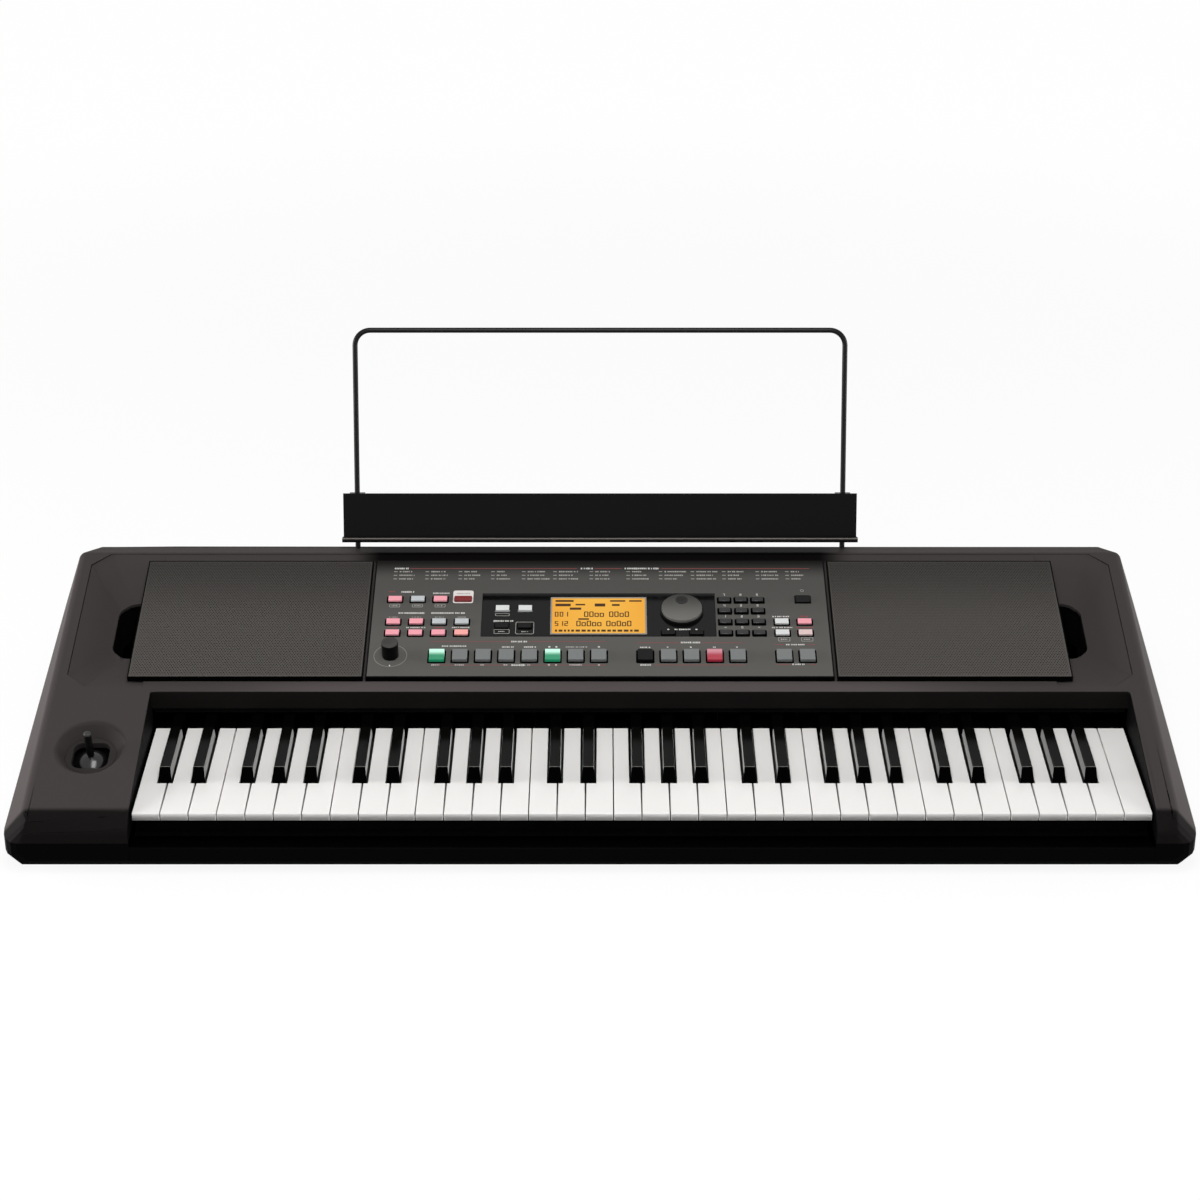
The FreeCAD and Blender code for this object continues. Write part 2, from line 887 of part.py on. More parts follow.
def make_pivot_rod():
    reach = key_side_gap - frame_side_gap
    return bar(rod_radius, Vector(key_left_x - reach, pivot_y, pivot_z), Vector(key_right_x + reach, pivot_y, pivot_z))


def make_felts():
    felt_y = key_front_y + front_felt_run
    rear_y = pivot_y + rear_felt_run
    rear_top = key_low_z - running_clearance
    front = box(key_left_x, key_right_x, felt_y, felt_y + felt_width,
                front_felt_top() - felt_thickness, front_felt_top())
    rear_x0 = key_left_x + ear_thickness
    rear = box(rear_x0, key_right_x, rear_y + ear_half_depth - rear_felt_run, rear_y + rear_felt_width,
               rear_top - felt_thickness, rear_top)
    dust_y = fallboard_y + case_wall
    dust_z = key_plane_z + black_height + black_top_clearance
    dust = box(key_left_x, key_right_x, dust_y, dust_y + dust_felt_thickness, dust_z, dust_z + dust_felt_height)
    return [front, rear, dust]


def make_spring_comb():
    rail_y = pivot_y + spring_rail_run
    tip_y = pivot_y + spring_tip_run
    rail_top = tail_top_z + spring_rise
    tip_z = tail_top_z + spring_clearance
    strip = box(key_left_x, key_right_x, rail_y, rail_y + spring_thickness, frame_top_z, rail_top)
    pieces = [strip]
    for octave in tail_centres():
        for x in octave:
            x0 = x - spring_width / 2
            points = [(x0, rail_y + spring_thickness, rail_top), (x0, rail_y + spring_thickness, rail_top - spring_thickness),
                      (x0, tip_y, tip_z), (x0, tip_y, tip_z + spring_thickness)]
            pieces.append(prism(points, Vector(spring_width, 0, 0)))
    return joined(pieces)


def make_contact_board():
    y0 = key_front_y + contact_run
    z0 = frame_top_z + contact_rib_height
    return box(key_left_x, key_right_x, y0, y0 + contact_board_depth, z0, z0 + board_thickness)


def make_contact_rubbers():
    middle_run = contact_run + contact_board_depth / 2
    y = key_front_y + middle_run
    z0 = frame_top_z + contact_rib_height + board_thickness
    z1 = z0 + contact_strip_thickness
    top = key_low_z - key_drop(middle_run - dome_top_radius) - press_clearance
    strips = []
    for octave in tail_centres():
        x0 = min(octave) - dome_foot_radius - 1
        x1 = max(octave) + dome_foot_radius + 1
        pieces = [box(x0, x1, y - contact_strip_width / 2, y + contact_strip_width / 2, z0, z1)]
        for x in octave:
            pieces.append(Part.makeCone(dome_foot_radius, dome_top_radius, top - z1, Vector(x, y, z1)))
        strips.append(joined(pieces))
    return strips


# Control panel, buttons and display

def column_x(column):
    return -panel_half_width + left_column_margin + column * column_step


def row_s(row):
    return panel_front_s + row * row_step


def knob_place():
    return column_x(knob_column), row_s(knob_row)


def dial_place():
    return column_x(dial_column), row_s(dial_row)


def button_groups():
    """Name of each group, with its buttons as x, s, width, length and height above the panel."""
    small = (column_step - small_button_gap, small_button_length, small_button_proud)
    large = (column_step - large_button_gap, large_button_length, large_button_proud)
    menu = (column_step - small_button_gap, menu_button_length, small_button_proud)
    record = (column_step - record_button_gap, small_button_length, small_button_proud)
    below_dial = (column_step - small_button_gap, dial_button_length, small_button_proud)
    number = (keypad_column_step * column_step - keypad_button_gap, keypad_button_length, small_button_proud)
    power = (power_button_width, power_button_length, small_button_proud)
    part_rows = (part_upper_row, part_lower_row)
    right = (right_first_column, right_first_column + 1)
    places = {}
    places["mode_buttons"] = [(column, mode_row, small) for column in range(3)]
    places["record_button"] = [(3, mode_row, record)]
    places["part_buttons"] = [(column, row, small) for row in part_rows for column in range(4)]
    places["style_buttons"] = [(style_first_column + index, lower_row, large) for index in range(style_count)]
    places["display_buttons"] = [(menu_first_column + index, row, menu)
                                 for row in (menu_upper_row, menu_lower_row) for index in range(2)]
    for side in (-0.5, 0.5):
        places["display_buttons"].append((dial_column + side * dial_button_columns, dial_button_row, below_dial))
    places["keypad_buttons"] = [(keypad_first_column + keypad_column_step * across,
                                 keypad_first_row - keypad_row_step * down, number)
                                for down in range(4) for across in range(3)]
    places["set_buttons"] = [(set_first_column + index, lower_row, large) for index in range(set_count)]
    places["right_buttons"] = [(column, row, small) for row in part_rows for column in right]
    places["right_buttons"] += [(column, lower_row, large) for column in right]
    places["power_button"] = [(right[1], power_row, power)]
    groups = {}
    for name, buttons in places.items():
        groups[name] = [(column_x(column), row_s(row)) + size for column, row, size in buttons]
    return groups


def button_cap(x, s, width, length, proud):
    flange_top = panel_base_n - button_flange_gap
    low = flange_top - button_flange_thickness
    high = panel_rise + proud
    cap = box(x - width / 2, x + width / 2, s - length / 2, s + length / 2, low, high)
    flange = box(x - width / 2 - button_flange, x + width / 2 + button_flange,
                 s - length / 2 - button_flange, s + length / 2 + button_flange, low, flange_top)
    return rounded_top(joined([cap, flange]), button_edge_round, high)


def switch_top():
    low = panel_base_n - button_flange_gap - button_flange_thickness
    return low - button_travel - plunger_slack


def make_switch(x, s):
    half = switch_body / 2
    body = box(x - half, x + half, s - half, s + half, -panel_board_drop, -panel_board_drop + switch_height)
    plunger = bar(plunger_radius, Vector(x, s, -panel_board_drop), Vector(x, s, switch_top()))
    return joined([body, plunger])


def control_hole(x, s):
    return bar(bushing_radius + screw_clearance, Vector(x, s, panel_base_n - 1), Vector(x, s, panel_rise + 1))


def button_holes():
    holes = []
    for buttons in button_groups().values():
        for x, s, width, length, proud in buttons:
            reach_x = width / 2 + button_clearance
            reach_s = length / 2 + button_clearance
            holes.append(box(x - reach_x, x + reach_x, s - reach_s, s + reach_s, panel_base_n - 1, panel_rise + 1))
    return holes


def cover_box(low, high, grow):
    return box(column_x(cover_first_column) - grow, column_x(cover_last_column) + grow,
               row_s(cover_first_row) - grow, row_s(cover_last_row) + grow, low, high)


def display_box(low, high, grow):
    half_x = display_columns * column_step / 2 + grow
    half_s = display_rows * row_step / 2 + grow
    x = column_x(display_column)
    s = row_s(display_row)
    return box(x - half_x, x + half_x, s - half_s, s + half_s, low, high)


def post_places():
    margin = panel_opening_margin + post_margin
    front = [(column_x(column), panel_front_s + margin) for column in front_post_columns]
    back = [(column_x(column), panel_back_s - margin) for column in back_post_columns]
    return front + back


def make_control_panel():
    plate = box(-panel_half_width, panel_half_width, panel_front_s, panel_back_s, panel_base_n, panel_rise)
    posts = []
    for x, s in post_places():
        posts.append(bar(post_radius, Vector(x, s, -panel_board_drop), Vector(x, s, 0)))
    panel = joined([plate] + posts)
    cuts = button_holes()
    cuts.append(cover_box(panel_rise - cover_thickness, panel_rise + 1, cover_clearance))
    cuts.append(display_box(panel_base_n - 1, panel_rise, cover_clearance))
    cuts += [control_hole(*knob_place()), control_hole(*dial_place())]
    return on_slope(panel.cut(cuts))


def make_display_cover():
    cover = cover_box(panel_rise - cover_thickness, panel_rise, 0)
    return on_slope(cover.cut(button_holes() + [control_hole(*dial_place())]))


def make_display_module():
    return on_slope(display_box(-panel_board_drop, panel_rise - cover_thickness - cover_clearance, 0))


def make_panel_board():
    half = panel_half_width - panel_board_margin
    return on_slope(box(-half, half, panel_front_s + panel_board_margin, panel_back_s - panel_board_margin,
                        -panel_board_drop - board_thickness, -panel_board_drop))


def save_buttons():
    switches = []
    for name, buttons in button_groups().items():
        save(name, [on_slope(button_cap(*button)) for button in buttons])
        switches += [on_slope(make_switch(button[0], button[1])) for button in buttons]
    save("panel_switches", switches)


def make_control_base(x, s):
    half = control_body / 2
    body = box(x - half, x + half, s - half, s + half, -panel_board_drop, panel_base_n - button_flange_gap)
    bushing = bar(bushing_radius, Vector(x, s, -panel_board_drop), Vector(x, s, panel_rise - cover_clearance))
    bore = bar(stem_radius + running_clearance, Vector(x, s, panel_base_n), Vector(x, s, panel_rise + 1))
    return on_slope(joined([body, bushing]).cut(bore))


def make_stem():
    return bar(stem_radius, Vector(0, 0, panel_base_n + running_clearance), Vector(0, 0, panel_rise + control_lift + 1))


def make_volume_knob():
    low = panel_rise + control_lift
    body = Part.makeCone(knob_base_radius, knob_top_radius, knob_height, Vector(0, 0, low))
    body = rounded_top(body, control_edge_round, low + knob_height)
    sphere_radius = (knob_dish_radius ** 2 + knob_dish_depth ** 2) / (2 * knob_dish_depth)
    centre = Vector(0, 0, low + knob_height - knob_dish_depth + sphere_radius)
    knob = joined([body, make_stem()]).cut(Part.makeSphere(sphere_radius, centre))
    x, s = knob_place()
    return on_slope(shifted(knob, x, s, 0))


def make_value_dial():
    low = panel_rise + control_lift
    skirt = bar(dial_skirt_radius, Vector(0, 0, low), Vector(0, 0, low + dial_skirt_height))
    disc = bar(dial_radius, Vector(0, 0, low), Vector(0, 0, low + dial_height))
    disc = rounded_top(disc, control_edge_round, low + dial_height)
    sphere_radius = (dimple_radius ** 2 + dimple_depth ** 2) / (2 * dimple_depth)
    centre = Vector(0, dimple_offset, low + dial_height - dimple_depth + sphere_radius)
    dial = joined([skirt, disc, make_stem()]).cut(Part.makeSphere(sphere_radius, centre))
    x, s = dial_place()
    return on_slope(shifted(dial, x, s, 0))


# Grilles and speakers

def make_grille(side):
    x0 = grille_inner_x
    plate = box(x0, grille_outer_x, panel_front_s, panel_back_s, panel_base_n, panel_rise)
    hollow = box(x0 + grille_skin, grille_outer_x - grille_skin, panel_front_s + grille_skin,
                 panel_back_s - grille_skin, panel_base_n - 1, panel_rise - grille_skin)
    grille = plate.cut(hollow)
    if side < 0:
        grille = grille.mirror(Vector(0, 0, 0), Vector(1, 0, 0))
    return on_slope(grille)


def make_driver(x):
    top = -case_wall
    ring_low = top - speaker_ring_thickness
    back = ring_low - basket_depth
    profile = [(speaker_hole_radius, top), (speaker_ring_radius, top), (speaker_ring_radius, ring_low),
               (basket_back_radius, back), (0, back), (0, back + basket_wall),
               (basket_back_radius - basket_wall, back + basket_wall),
               (speaker_ring_radius - 2 * basket_wall, ring_low), (speaker_hole_radius, ring_low)]
    magnet = bar(magnet_radius, Vector(0, 0, back - magnet_height), Vector(0, 0, back))
    return on_slope(shifted(joined([turned(profile), magnet]), x, speaker_s, 0))


def make_cone(x):
    rim_top = -case_wall - speaker_ring_thickness
    rim_low = rim_top - cone_thickness
    edge = speaker_hole_radius - cone_rim_width / 2
    rim = speaker_hole_radius + cone_rim_width / 2
    throat = rim_top - cone_depth
    profile = [(0, throat + 2 * cone_thickness), (cone_throat_radius, throat), (edge, rim_top), (rim, rim_top),
               (rim, rim_low), (edge, rim_low), (cone_throat_radius, throat - cone_thickness),
               (0, throat + cone_thickness)]
    return on_slope(shifted(turned(profile), x, speaker_s, 0))


def make_duct():
    top = -recess_depth - case_wall
    outline = recess_outline(top - duct_length, case_wall, True)
    bore = recess_outline(top - duct_length, case_wall - duct_wall, True)
    along = Vector(0, 0, duct_length)
    return prism(outline, along).cut(prism(bore, along))


# Joystick

def rounded_square(width, corner, low, high):
    half = width / 2
    block = box(-half, half, -half, half, low, high)
    edges = [edge for edge in block.Edges if abs(edge.Vertexes[0].Z - edge.Vertexes[1].Z) > 1e-6]
    return block.makeFillet(corner, edges)


def on_stick(shape):
    return on_slope(shifted(shape, stick_x, stick_s, 0))


def make_joystick_housing():
    top = -dish_depth
    low = -dish_bottom
    flange_low = low - housing_flange_thickness
    half = housing_width / 2
    inside = half - housing_wall
    disc = bar(dish_floor_radius - ring_clearance, Vector(0, 0, low), Vector(0, 0, top))
    flange = bar(housing_flange_radius, Vector(0, 0, flange_low), Vector(0, 0, low))
    walls = box(-half, half, -half, half, flange_low - housing_height, flange_low)
    walls = walls.cut(box(-inside, inside, -inside, inside, flange_low - housing_height, flange_low))
    lid = box(-half, half, -half, half, flange_low, flange_low + housing_flange_thickness)
    lid = lid.common(bar(housing_flange_radius * 2, Vector(0, 0, flange_low), Vector(0, 0, low)))
    housing = joined([disc, flange, walls, lid])
    bore = bar(gimbal_pin_radius + running_clearance, Vector(0, -housing_width, -gimbal_depth),
               Vector(0, housing_width, -gimbal_depth))
    return on_stick(housing.cut([rounded_square(ring_hole_width, ring_hole_round, flange_low - 1, top + 1), bore]))


def make_joystick_cradle():
    half = cradle_width / 2
    inside = cradle_opening / 2
    z0 = -gimbal_depth - cradle_height / 2
    z1 = -gimbal_depth + cradle_height / 2
    ring = box(-half, half, -half, half, z0, z1).cut(box(-inside, inside, -inside, inside, z0, z1))
    reach = housing_width / 2
    pieces = [ring]
    for side in (-1, 1):
        pieces.append(bar(gimbal_pin_radius, Vector(0, side * inside, -gimbal_depth), Vector(0, side * reach, -gimbal_depth)))
    bore = bar(gimbal_pin_radius + running_clearance, Vector(-half - 1, 0, -gimbal_depth), Vector(half + 1, 0, -gimbal_depth))
    return on_stick(joined(pieces).cut(bore))


def make_joystick_stick():
    centre = Vector(0, 0, -gimbal_depth)
    edge = dome_radius * math.cos(math.radians(dome_edge_angle))
    dome = Part.makeSphere(dome_radius, centre).cut(Part.makeSphere(dome_radius - dome_wall, centre))
    dome = dome.cut(box(-dome_radius, dome_radius, -dome_radius, dome_radius, -gimbal_depth - dome_radius, -gimbal_depth + edge))
    shaft = bar(stick_radius, centre, Vector(0, 0, stick_top))
    shaft = rounded_top(shaft, stick_radius * 0.6, stick_top)
    half = stick_hub_width / 2
    hub = bar(stick_hub_radius, Vector(-half, 0, -gimbal_depth), Vector(half, 0, -gimbal_depth))
    reach = cradle_width / 2
    pin = bar(gimbal_pin_radius, Vector(-reach, 0, -gimbal_depth), Vector(reach, 0, -gimbal_depth))
    return on_stick(joined([dome, shaft, hub, pin]))


# Music rest, in its own frame: x along the wire, y square to the tray, z up the legs

def make_rest_wire():
    half = rest_leg_spacing / 2
    bend = wire_bend_radius
    foot = running_clearance - socket_depth
    knee = rest_reach - bend
    diagonal = bend * math.sqrt(0.5)
    left = [Vector(-half, 0, foot), Vector(-half, 0, knee)]
    middle = Vector(-half + bend - diagonal, 0, knee + diagonal)
    top_left = Vector(-half + bend, 0, rest_reach)
    edges = [
        Part.makeLine(left[0], left[1]),
        Part.Arc(left[1], middle, top_left).toShape(),
        Part.makeLine(top_left, Vector(half - bend, 0, rest_reach)),
        Part.Arc(Vector(half - bend, 0, rest_reach), Vector(-middle.x, 0, middle.z), Vector(half, 0, knee)).toShape(),
        Part.makeLine(Vector(half, 0, knee), Vector(half, 0, foot)),
    ]
    path = Part.Wire(edges)
    profile = Part.Wire(Part.makeCircle(wire_radius, left[0], Vector(0, 0, 1)))
    return on_rest(path.makePipeShell([profile], True, True))


def make_rest_tray():
    half = tray_width / 2
    face = -wire_radius - running_clearance
    z0 = tray_foot
    z1 = tray_foot + tray_height
    plate = box(-half, half, face - tray_thickness, face, z0, z1)
    reach = half + ledge_overhang
    ledge = box(-reach, reach, face - ledge_depth, face, z0, z0 + ledge_thickness)
    front = []
    for edge in ledge.Edges:
        if abs(edge.CenterOfMass.y - (face - ledge_depth)) < 1e-6 and abs(edge.CenterOfMass.x) < 1e-6:
            front.append(edge)
    ledge = ledge.makeFillet(ledge_round, front)
    pieces = [plate, ledge]
    bores = []
    for x in rest_leg_places():
        pieces.append(box(x - clip_width / 2, x + clip_width / 2, face, face + clip_depth, z0, z1))
        bores.append(bar(wire_radius + running_clearance, Vector(x, 0, z0 - 1), Vector(x, 0, z1 + 1)))
    return on_rest(joined(pieces).cut(bores))


# Boards, screws and feet

def standoff_places():
    y1 = back_y - main_board_back_gap - standoff_margin
    y0 = back_y - main_board_back_gap - main_board_depth + standoff_margin
    x = main_board_half_width - standoff_margin
    return [(side * x, y) for side in (-1, 1) for y in (y0, y1)]


def make_main_board():
    y1 = back_y - main_board_back_gap
    y0 = y1 - main_board_depth
    z0 = floor_z + standoff_height
    board = box(-main_board_half_width, main_board_half_width, y0, y1, z0, z0 + board_thickness)
    middle = (y0 + y1) / 2
    pieces = [board]
    for x in (-4 * chip_size, 0, 4 * chip_size):
        pieces.append(box(x - chip_size / 2, x + chip_size / 2, middle - chip_size / 2, middle + chip_size / 2,
                          z0, z0 + board_thickness + chip_height))
    return joined(pieces)


def make_screw(x, y):
    head = bar(screw_head_radius, Vector(x, y, screw_head_z - screw_head_height), Vector(x, y, screw_head_z))
    shank = bar(screw_radius, Vector(x, y, screw_head_z - 1), Vector(x, y, screw_head_z + screw_length))
    return joined([head, shank])


def make_feet():
    x = case_width / 2 - foot_side_inset
    feet = []
    for place_x in (-x, 0, x):
        for y in (front_y + foot_front_run, back_y - foot_back_inset):
            feet.append(bar(foot_radius, Vector(place_x, y, 0), Vector(place_x, y, foot_height)))
    return feet


def main():
    os.makedirs("parts", exist_ok=True)
    outer = faceted_body(0)
    inner = faceted_body(case_wall)
    save("upper_case", [make_upper_case(outer, inner)])
    save("lower_case", [make_lower_case(outer, inner)])
    save("bottom_plate", [make_bottom_plate()])
    save("front_rail", [make_front_rail()])
    save("audio_jacks", [make_jack(x) for x in jack_places()])
    save("usb_socket", [make_usb_socket()])
    save("dc_inlet", [make_dc_inlet()])
    save_keys()
    save("keybed_frame", [make_keybed_frame()])
    save("key_pivot_rod", [make_pivot_rod()])
    save("key_felts", make_felts())
    save("key_spring_comb", [make_spring_comb()])
    save("key_contact_board", [make_contact_board()])
    save("key_contact_rubbers", make_contact_rubbers())
    save("control_panel", [make_control_panel()])
    save("display_cover", [make_display_cover()])
    save("display_module", [make_display_module()])
    save("panel_board", [make_panel_board()])
    save_buttons()
    save("volume_pot", [make_control_base(*knob_place())])
    save("dial_encoder", [make_control_base(*dial_place())])
    save("volume_knob", [make_volume_knob()])
    save("value_dial", [make_value_dial()])
    save("left_speaker_grille", [make_grille(-1)])
    save("right_speaker_grille", [make_grille(1)])
    save("speaker_drivers", [make_driver(-speaker_x), make_driver(speaker_x)])
    save("speaker_cones", [make_cone(-speaker_x), make_cone(speaker_x)])
    save("bass_ducts", [on_slope(duct) for duct in both_sides(make_duct())])
    save("joystick_housing", [make_joystick_housing()])
    save("joystick_cradle", [make_joystick_cradle()])
    save("joystick_stick", [make_joystick_stick()])
    save("music_rest_wire", [make_rest_wire()])
    save("music_rest_tray", [make_rest_tray()])
    save("main_board", [make_main_board()])
    save("case_screws", [make_screw(x, y) for x, y in screw_places()])
    save("rubber_feet", make_feet())


main()
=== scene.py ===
# %% [markdown]
# # An arranger keyboard, dressed for a studio picture
# The solids come packed with their sizes, bodies and joints. This lesson gives them soft edges, finishes,
# printed lines and lights. Nothing here moves a solid: a piece with better edges is a copy that stands in
# for its solid and rides on the same body.

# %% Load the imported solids
import json
import math
import random
import bpy
import bmesh
from mathutils import Matrix, Vector


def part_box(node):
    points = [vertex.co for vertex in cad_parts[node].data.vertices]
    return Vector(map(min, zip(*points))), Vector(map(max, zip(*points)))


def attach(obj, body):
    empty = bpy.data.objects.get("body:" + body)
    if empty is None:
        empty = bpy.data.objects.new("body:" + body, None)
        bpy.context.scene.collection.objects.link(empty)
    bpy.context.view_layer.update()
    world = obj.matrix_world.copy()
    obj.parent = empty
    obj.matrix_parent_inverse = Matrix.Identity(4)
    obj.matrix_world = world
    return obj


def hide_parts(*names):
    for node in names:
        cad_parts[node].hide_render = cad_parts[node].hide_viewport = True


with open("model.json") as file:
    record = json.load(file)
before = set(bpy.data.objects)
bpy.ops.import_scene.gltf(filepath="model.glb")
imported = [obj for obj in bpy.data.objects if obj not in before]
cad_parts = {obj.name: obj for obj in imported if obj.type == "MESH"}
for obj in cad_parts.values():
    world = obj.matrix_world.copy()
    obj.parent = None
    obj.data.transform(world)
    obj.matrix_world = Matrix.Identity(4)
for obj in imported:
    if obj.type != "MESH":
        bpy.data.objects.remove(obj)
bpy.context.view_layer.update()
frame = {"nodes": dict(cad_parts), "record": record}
nodes = frame["nodes"]
record = frame["record"]
body_of_node = {node: body for body, members in record["behaviour"]["bodies"].items() for node in members}


def added(name, data):
    thing = bpy.data.objects.new(name, data)
    bpy.context.collection.objects.link(thing)
    return thing



# %% [markdown]
# ## The sloping top as a drawing board
# Nearly everything that shows lies on one sloping plane, so it is drawn there: x across, s up the slope
# from the key fronts, n out of it, all in millimetres. One matrix takes such a point to metres in the
# shared frame.

# %% Sloping top
mm = 0.001
top_tilt = math.radians(13.4)
cheek_rise = 2.7 * mm
panel_n = 4.0
key_low, key_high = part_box("top_c_key")
key_front_y = key_low[1]
key_plane_z = key_high[2]
slope = (Matrix.Translation((0, key_front_y, key_plane_z + cheek_rise))
         @ Matrix.Rotation(top_tilt, 4, "X") @ Matrix.Scale(mm, 4))
unslope = slope.inverted()

panel_half_width = 204.5
panel_front_s = 160.47
panel_length = 159.0
knob_margin = 20.3
panel_rows = 10.6
lamp_row, knob_row = 2.1, 1.88
row_step = panel_length / panel_rows


def row_s(row):
    return panel_front_s + row * row_step


# %% [markdown]
# ## Camera
# The picture was taken from in front and about 27 degrees above, with a long lens. The same eye point, angle
# and field of view here let the render lie over the picture.

# %% Camera
camera_down = math.radians(26.95)
camera_back, camera_up = 1.955, 1.192
picture_width, focal_length = 1200, 2758
eye = bpy.data.cameras.new("eye")
eye.sensor_width = 36
eye.lens = eye.sensor_width * focal_length / picture_width
eye.clip_end = 60
camera = added("eye", eye)
camera.location = (0, key_front_y - camera_back, key_plane_z + camera_up)
camera.rotation_euler = (math.pi / 2 - camera_down, 0, 0)
bpy.context.scene.camera = camera
bpy.context.scene.view_settings.view_transform = "Standard"

# %% [markdown]
# ## Shader maths in plain expressions
# A small class wraps a node socket so that `1 - mask * 0.3` writes its own Math nodes. A node maker adds any
# other node to a tree. A finish is the node maker of one material, kept by its name: `surface` sets the
# sockets of its shader.

# %% Shader helpers
class Value:
    def __init__(self, maker, socket):
        self.maker = maker
        self.socket = socket

    def maths(self, operation, first, second):
        return self.maker.node("ShaderNodeMath", {0: first, 1: second}, operation=operation)


def operator(operation, turned=False):
    def method(value, other=0.0):
        return value.maths(operation, other, value) if turned else value.maths(operation, value, other)
    return method


Value.__add__, Value.__mul__ = operator("ADD"), operator("MULTIPLY")
Value.__sub__, Value.__rsub__ = operator("SUBTRACT"), operator("SUBTRACT", turned=True)
Value.__gt__, Value.__abs__ = operator("GREATER_THAN"), operator("ABSOLUTE")
Value.__truediv__, Value.__mod__, Value.__floor__ = map(operator, ("DIVIDE", "MODULO", "FLOOR"))


class NodeMaker:
    def __init__(self, tree):
        self.tree = tree

    def feed(self, socket, value):
        if isinstance(value, Value):
            self.tree.links.new(value.socket, socket)
        else:
            socket.default_value = value

    def node(self, kind, sockets=None, output=0, **settings):
        node = self.tree.nodes.new(kind)
        for name, value in settings.items():
            setattr(node, name, value)
        for name, value in (sockets or {}).items():
            self.feed(node.inputs[name], value)
        return Value(self, node.outputs[output])

    def blend(self, factor, first, second):
        return self.node("ShaderNodeMix", {0: factor, 6: first, 7: second}, 2, data_type="RGBA")


class Finish(NodeMaker):
    def __init__(self, name):
        material = finish_named[name] = bpy.data.materials.new(name)
        material.use_nodes = True
        super().__init__(material.node_tree)
        self.shader = self.tree.nodes["Principled BSDF"]

    def object_coords(self, scale=(1, 1, 1)):
        place = self.node("ShaderNodeTexCoord", output="Object")
        return self.node("ShaderNodeMapping", {"Vector": place, "Scale": scale})

    def axis(self, name, scale=(1, 1, 1)):
        return self.node("ShaderNodeSeparateXYZ", {0: self.object_coords(scale)}, name)

    def ramp(self, value, start, end):
        return self.node("ShaderNodeMapRange", {"Value": value, "From Min": start, "From Max": end},
                         interpolation_type="SMOOTHSTEP")

    def noise(self, scale, detail=2.0, coords=None):
        return self.node("ShaderNodeTexNoise", {"Vector": coords or self.object_coords(), "Scale": scale,
                                                "Detail": detail})

    def bump(self, height, depth):
        return self.node("ShaderNodeBump", {"Height": height, "Distance": depth, "Strength": 1.0})

    def surface(self, **sockets):
        for name, value in sockets.items():
            self.feed(self.shader.inputs[name.replace("_", " ")], value)


finish_named = {}


def linear(channel):
    channel = channel / 255
    return channel / 12.92 if channel <= 0.04045 else ((channel + 0.055) / 1.055) ** 2.4


def colour(red, green, blue):
    return (linear(red), linear(green), linear(blue), 1.0)


def shade(tone, factor):
    return (tone[0] * factor, tone[1] * factor, tone[2] * factor, 1.0)


# %% [markdown]
# ## Moulded plastics
# Nearly all of this object is moulded plastic. A fine spark-eroded grain breaks up the highlights, and wide
# faint clouds keep big faces from looking flat. One recipe makes them all: tone, roughness, grain size, grain
# depth in micrometres, gloss, how strong the clouds are, and a painted shade rule. That rule darkens the
# paint by place, as the picture has it, as painted shade: on the front roll of the cheeks, under the music
# rest, towards the back, in the joystick's dish, along the panel's edges and on the dial. The sides and the
# strip in front of the panel get less of it, which is painted light.

# %% Plastics
micrometre = 1e-6


def moulded(name, tone, roughness, grain, depth, gloss, cloud=0.12, painted_shade=None):
    finish = Finish(name)
    tone = colour(*tone)
    clouds = finish.noise(7.0, 3.0)
    speckle = finish.noise(grain)
    shift = (clouds - 0.5) * cloud + (speckle - 0.5) * (cloud * 0.6)
    paint = finish.blend(shift + 0.5, shade(tone, 0.8), shade(tone, 1.2))
    # Painted shade: the rule darkens the paint by place.
    if painted_shade:
        paint = finish.blend(painted_shade(finish), shade(tone, 0), paint)
    finish.surface(Base_Color=paint, Specular_IOR_Level=gloss,
                   Roughness=(clouds - 0.5) * 0.1 + (speckle - 0.5) * 0.08 + roughness,
                   Normal=finish.bump(speckle, depth * micrometre))


# %% Painted shade and painted light: each pair says where one starts and ends, in metres
cheek_roll_y = (-0.1985, -0.1925)
tray_end_x, tray_front_y, tray_back_y = (0.2, 0.235), (0.108, 0.122), (0.159, 0.152)
strip_front_y, strip_back_y, strip_end_x = (-0.0565, -0.0545), (-0.040, -0.043), (0.36, 0.22)
lit_side_x = (0.4765, 0.4805)
panel_rest_y, panel_back_y, grille_back_y = (0.114, 0.086), (0.085, 0.0), (0.116, 0.02)
dish_outer, dish_inner = 31 * mm, 26 * mm
housing_low, housing_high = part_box("joystick_housing")
dish_x, dish_y = (housing_low[0] + housing_high[0]) / 2, (housing_low[1] + housing_high[1]) / 2


# Painted shade on the case: darker on the cheeks' front roll, a painted shadow under the music rest, darker
# in the joystick's dish. Painted light on the side facets and the strip before the panel.
def case_painted_shade(finish):
    x, y = finish.axis("X"), finish.axis("Y")
    across = abs(x)
    from_x, from_y = x - dish_x, y - dish_y
    dish = finish.ramp(from_x * from_x + from_y * from_y, dish_outer ** 2, dish_inner ** 2)
    behind_front = finish.ramp(y, *cheek_roll_y)
    near_rest = finish.ramp(y, *tray_front_y) * finish.ramp(y, *tray_back_y)
    under_rest = (1 - finish.ramp(across, *tray_end_x)) * near_rest
    front_strip = finish.ramp(y, *strip_front_y) * finish.ramp(y, *strip_back_y)
    lit_strip = front_strip * finish.ramp(across, *strip_end_x)
    lit_side = finish.ramp(across, *lit_side_x) * 0.8
    shaded = (behind_front * 0.85 + 0.15) * (1 - under_rest * 0.95) * (1 - dish * 0.35)
    return shaded * ((lit_strip + lit_side) * 0.36 + 0.64)


panel_front_y = (slope @ Vector((0, panel_front_s, panel_n)))[1]
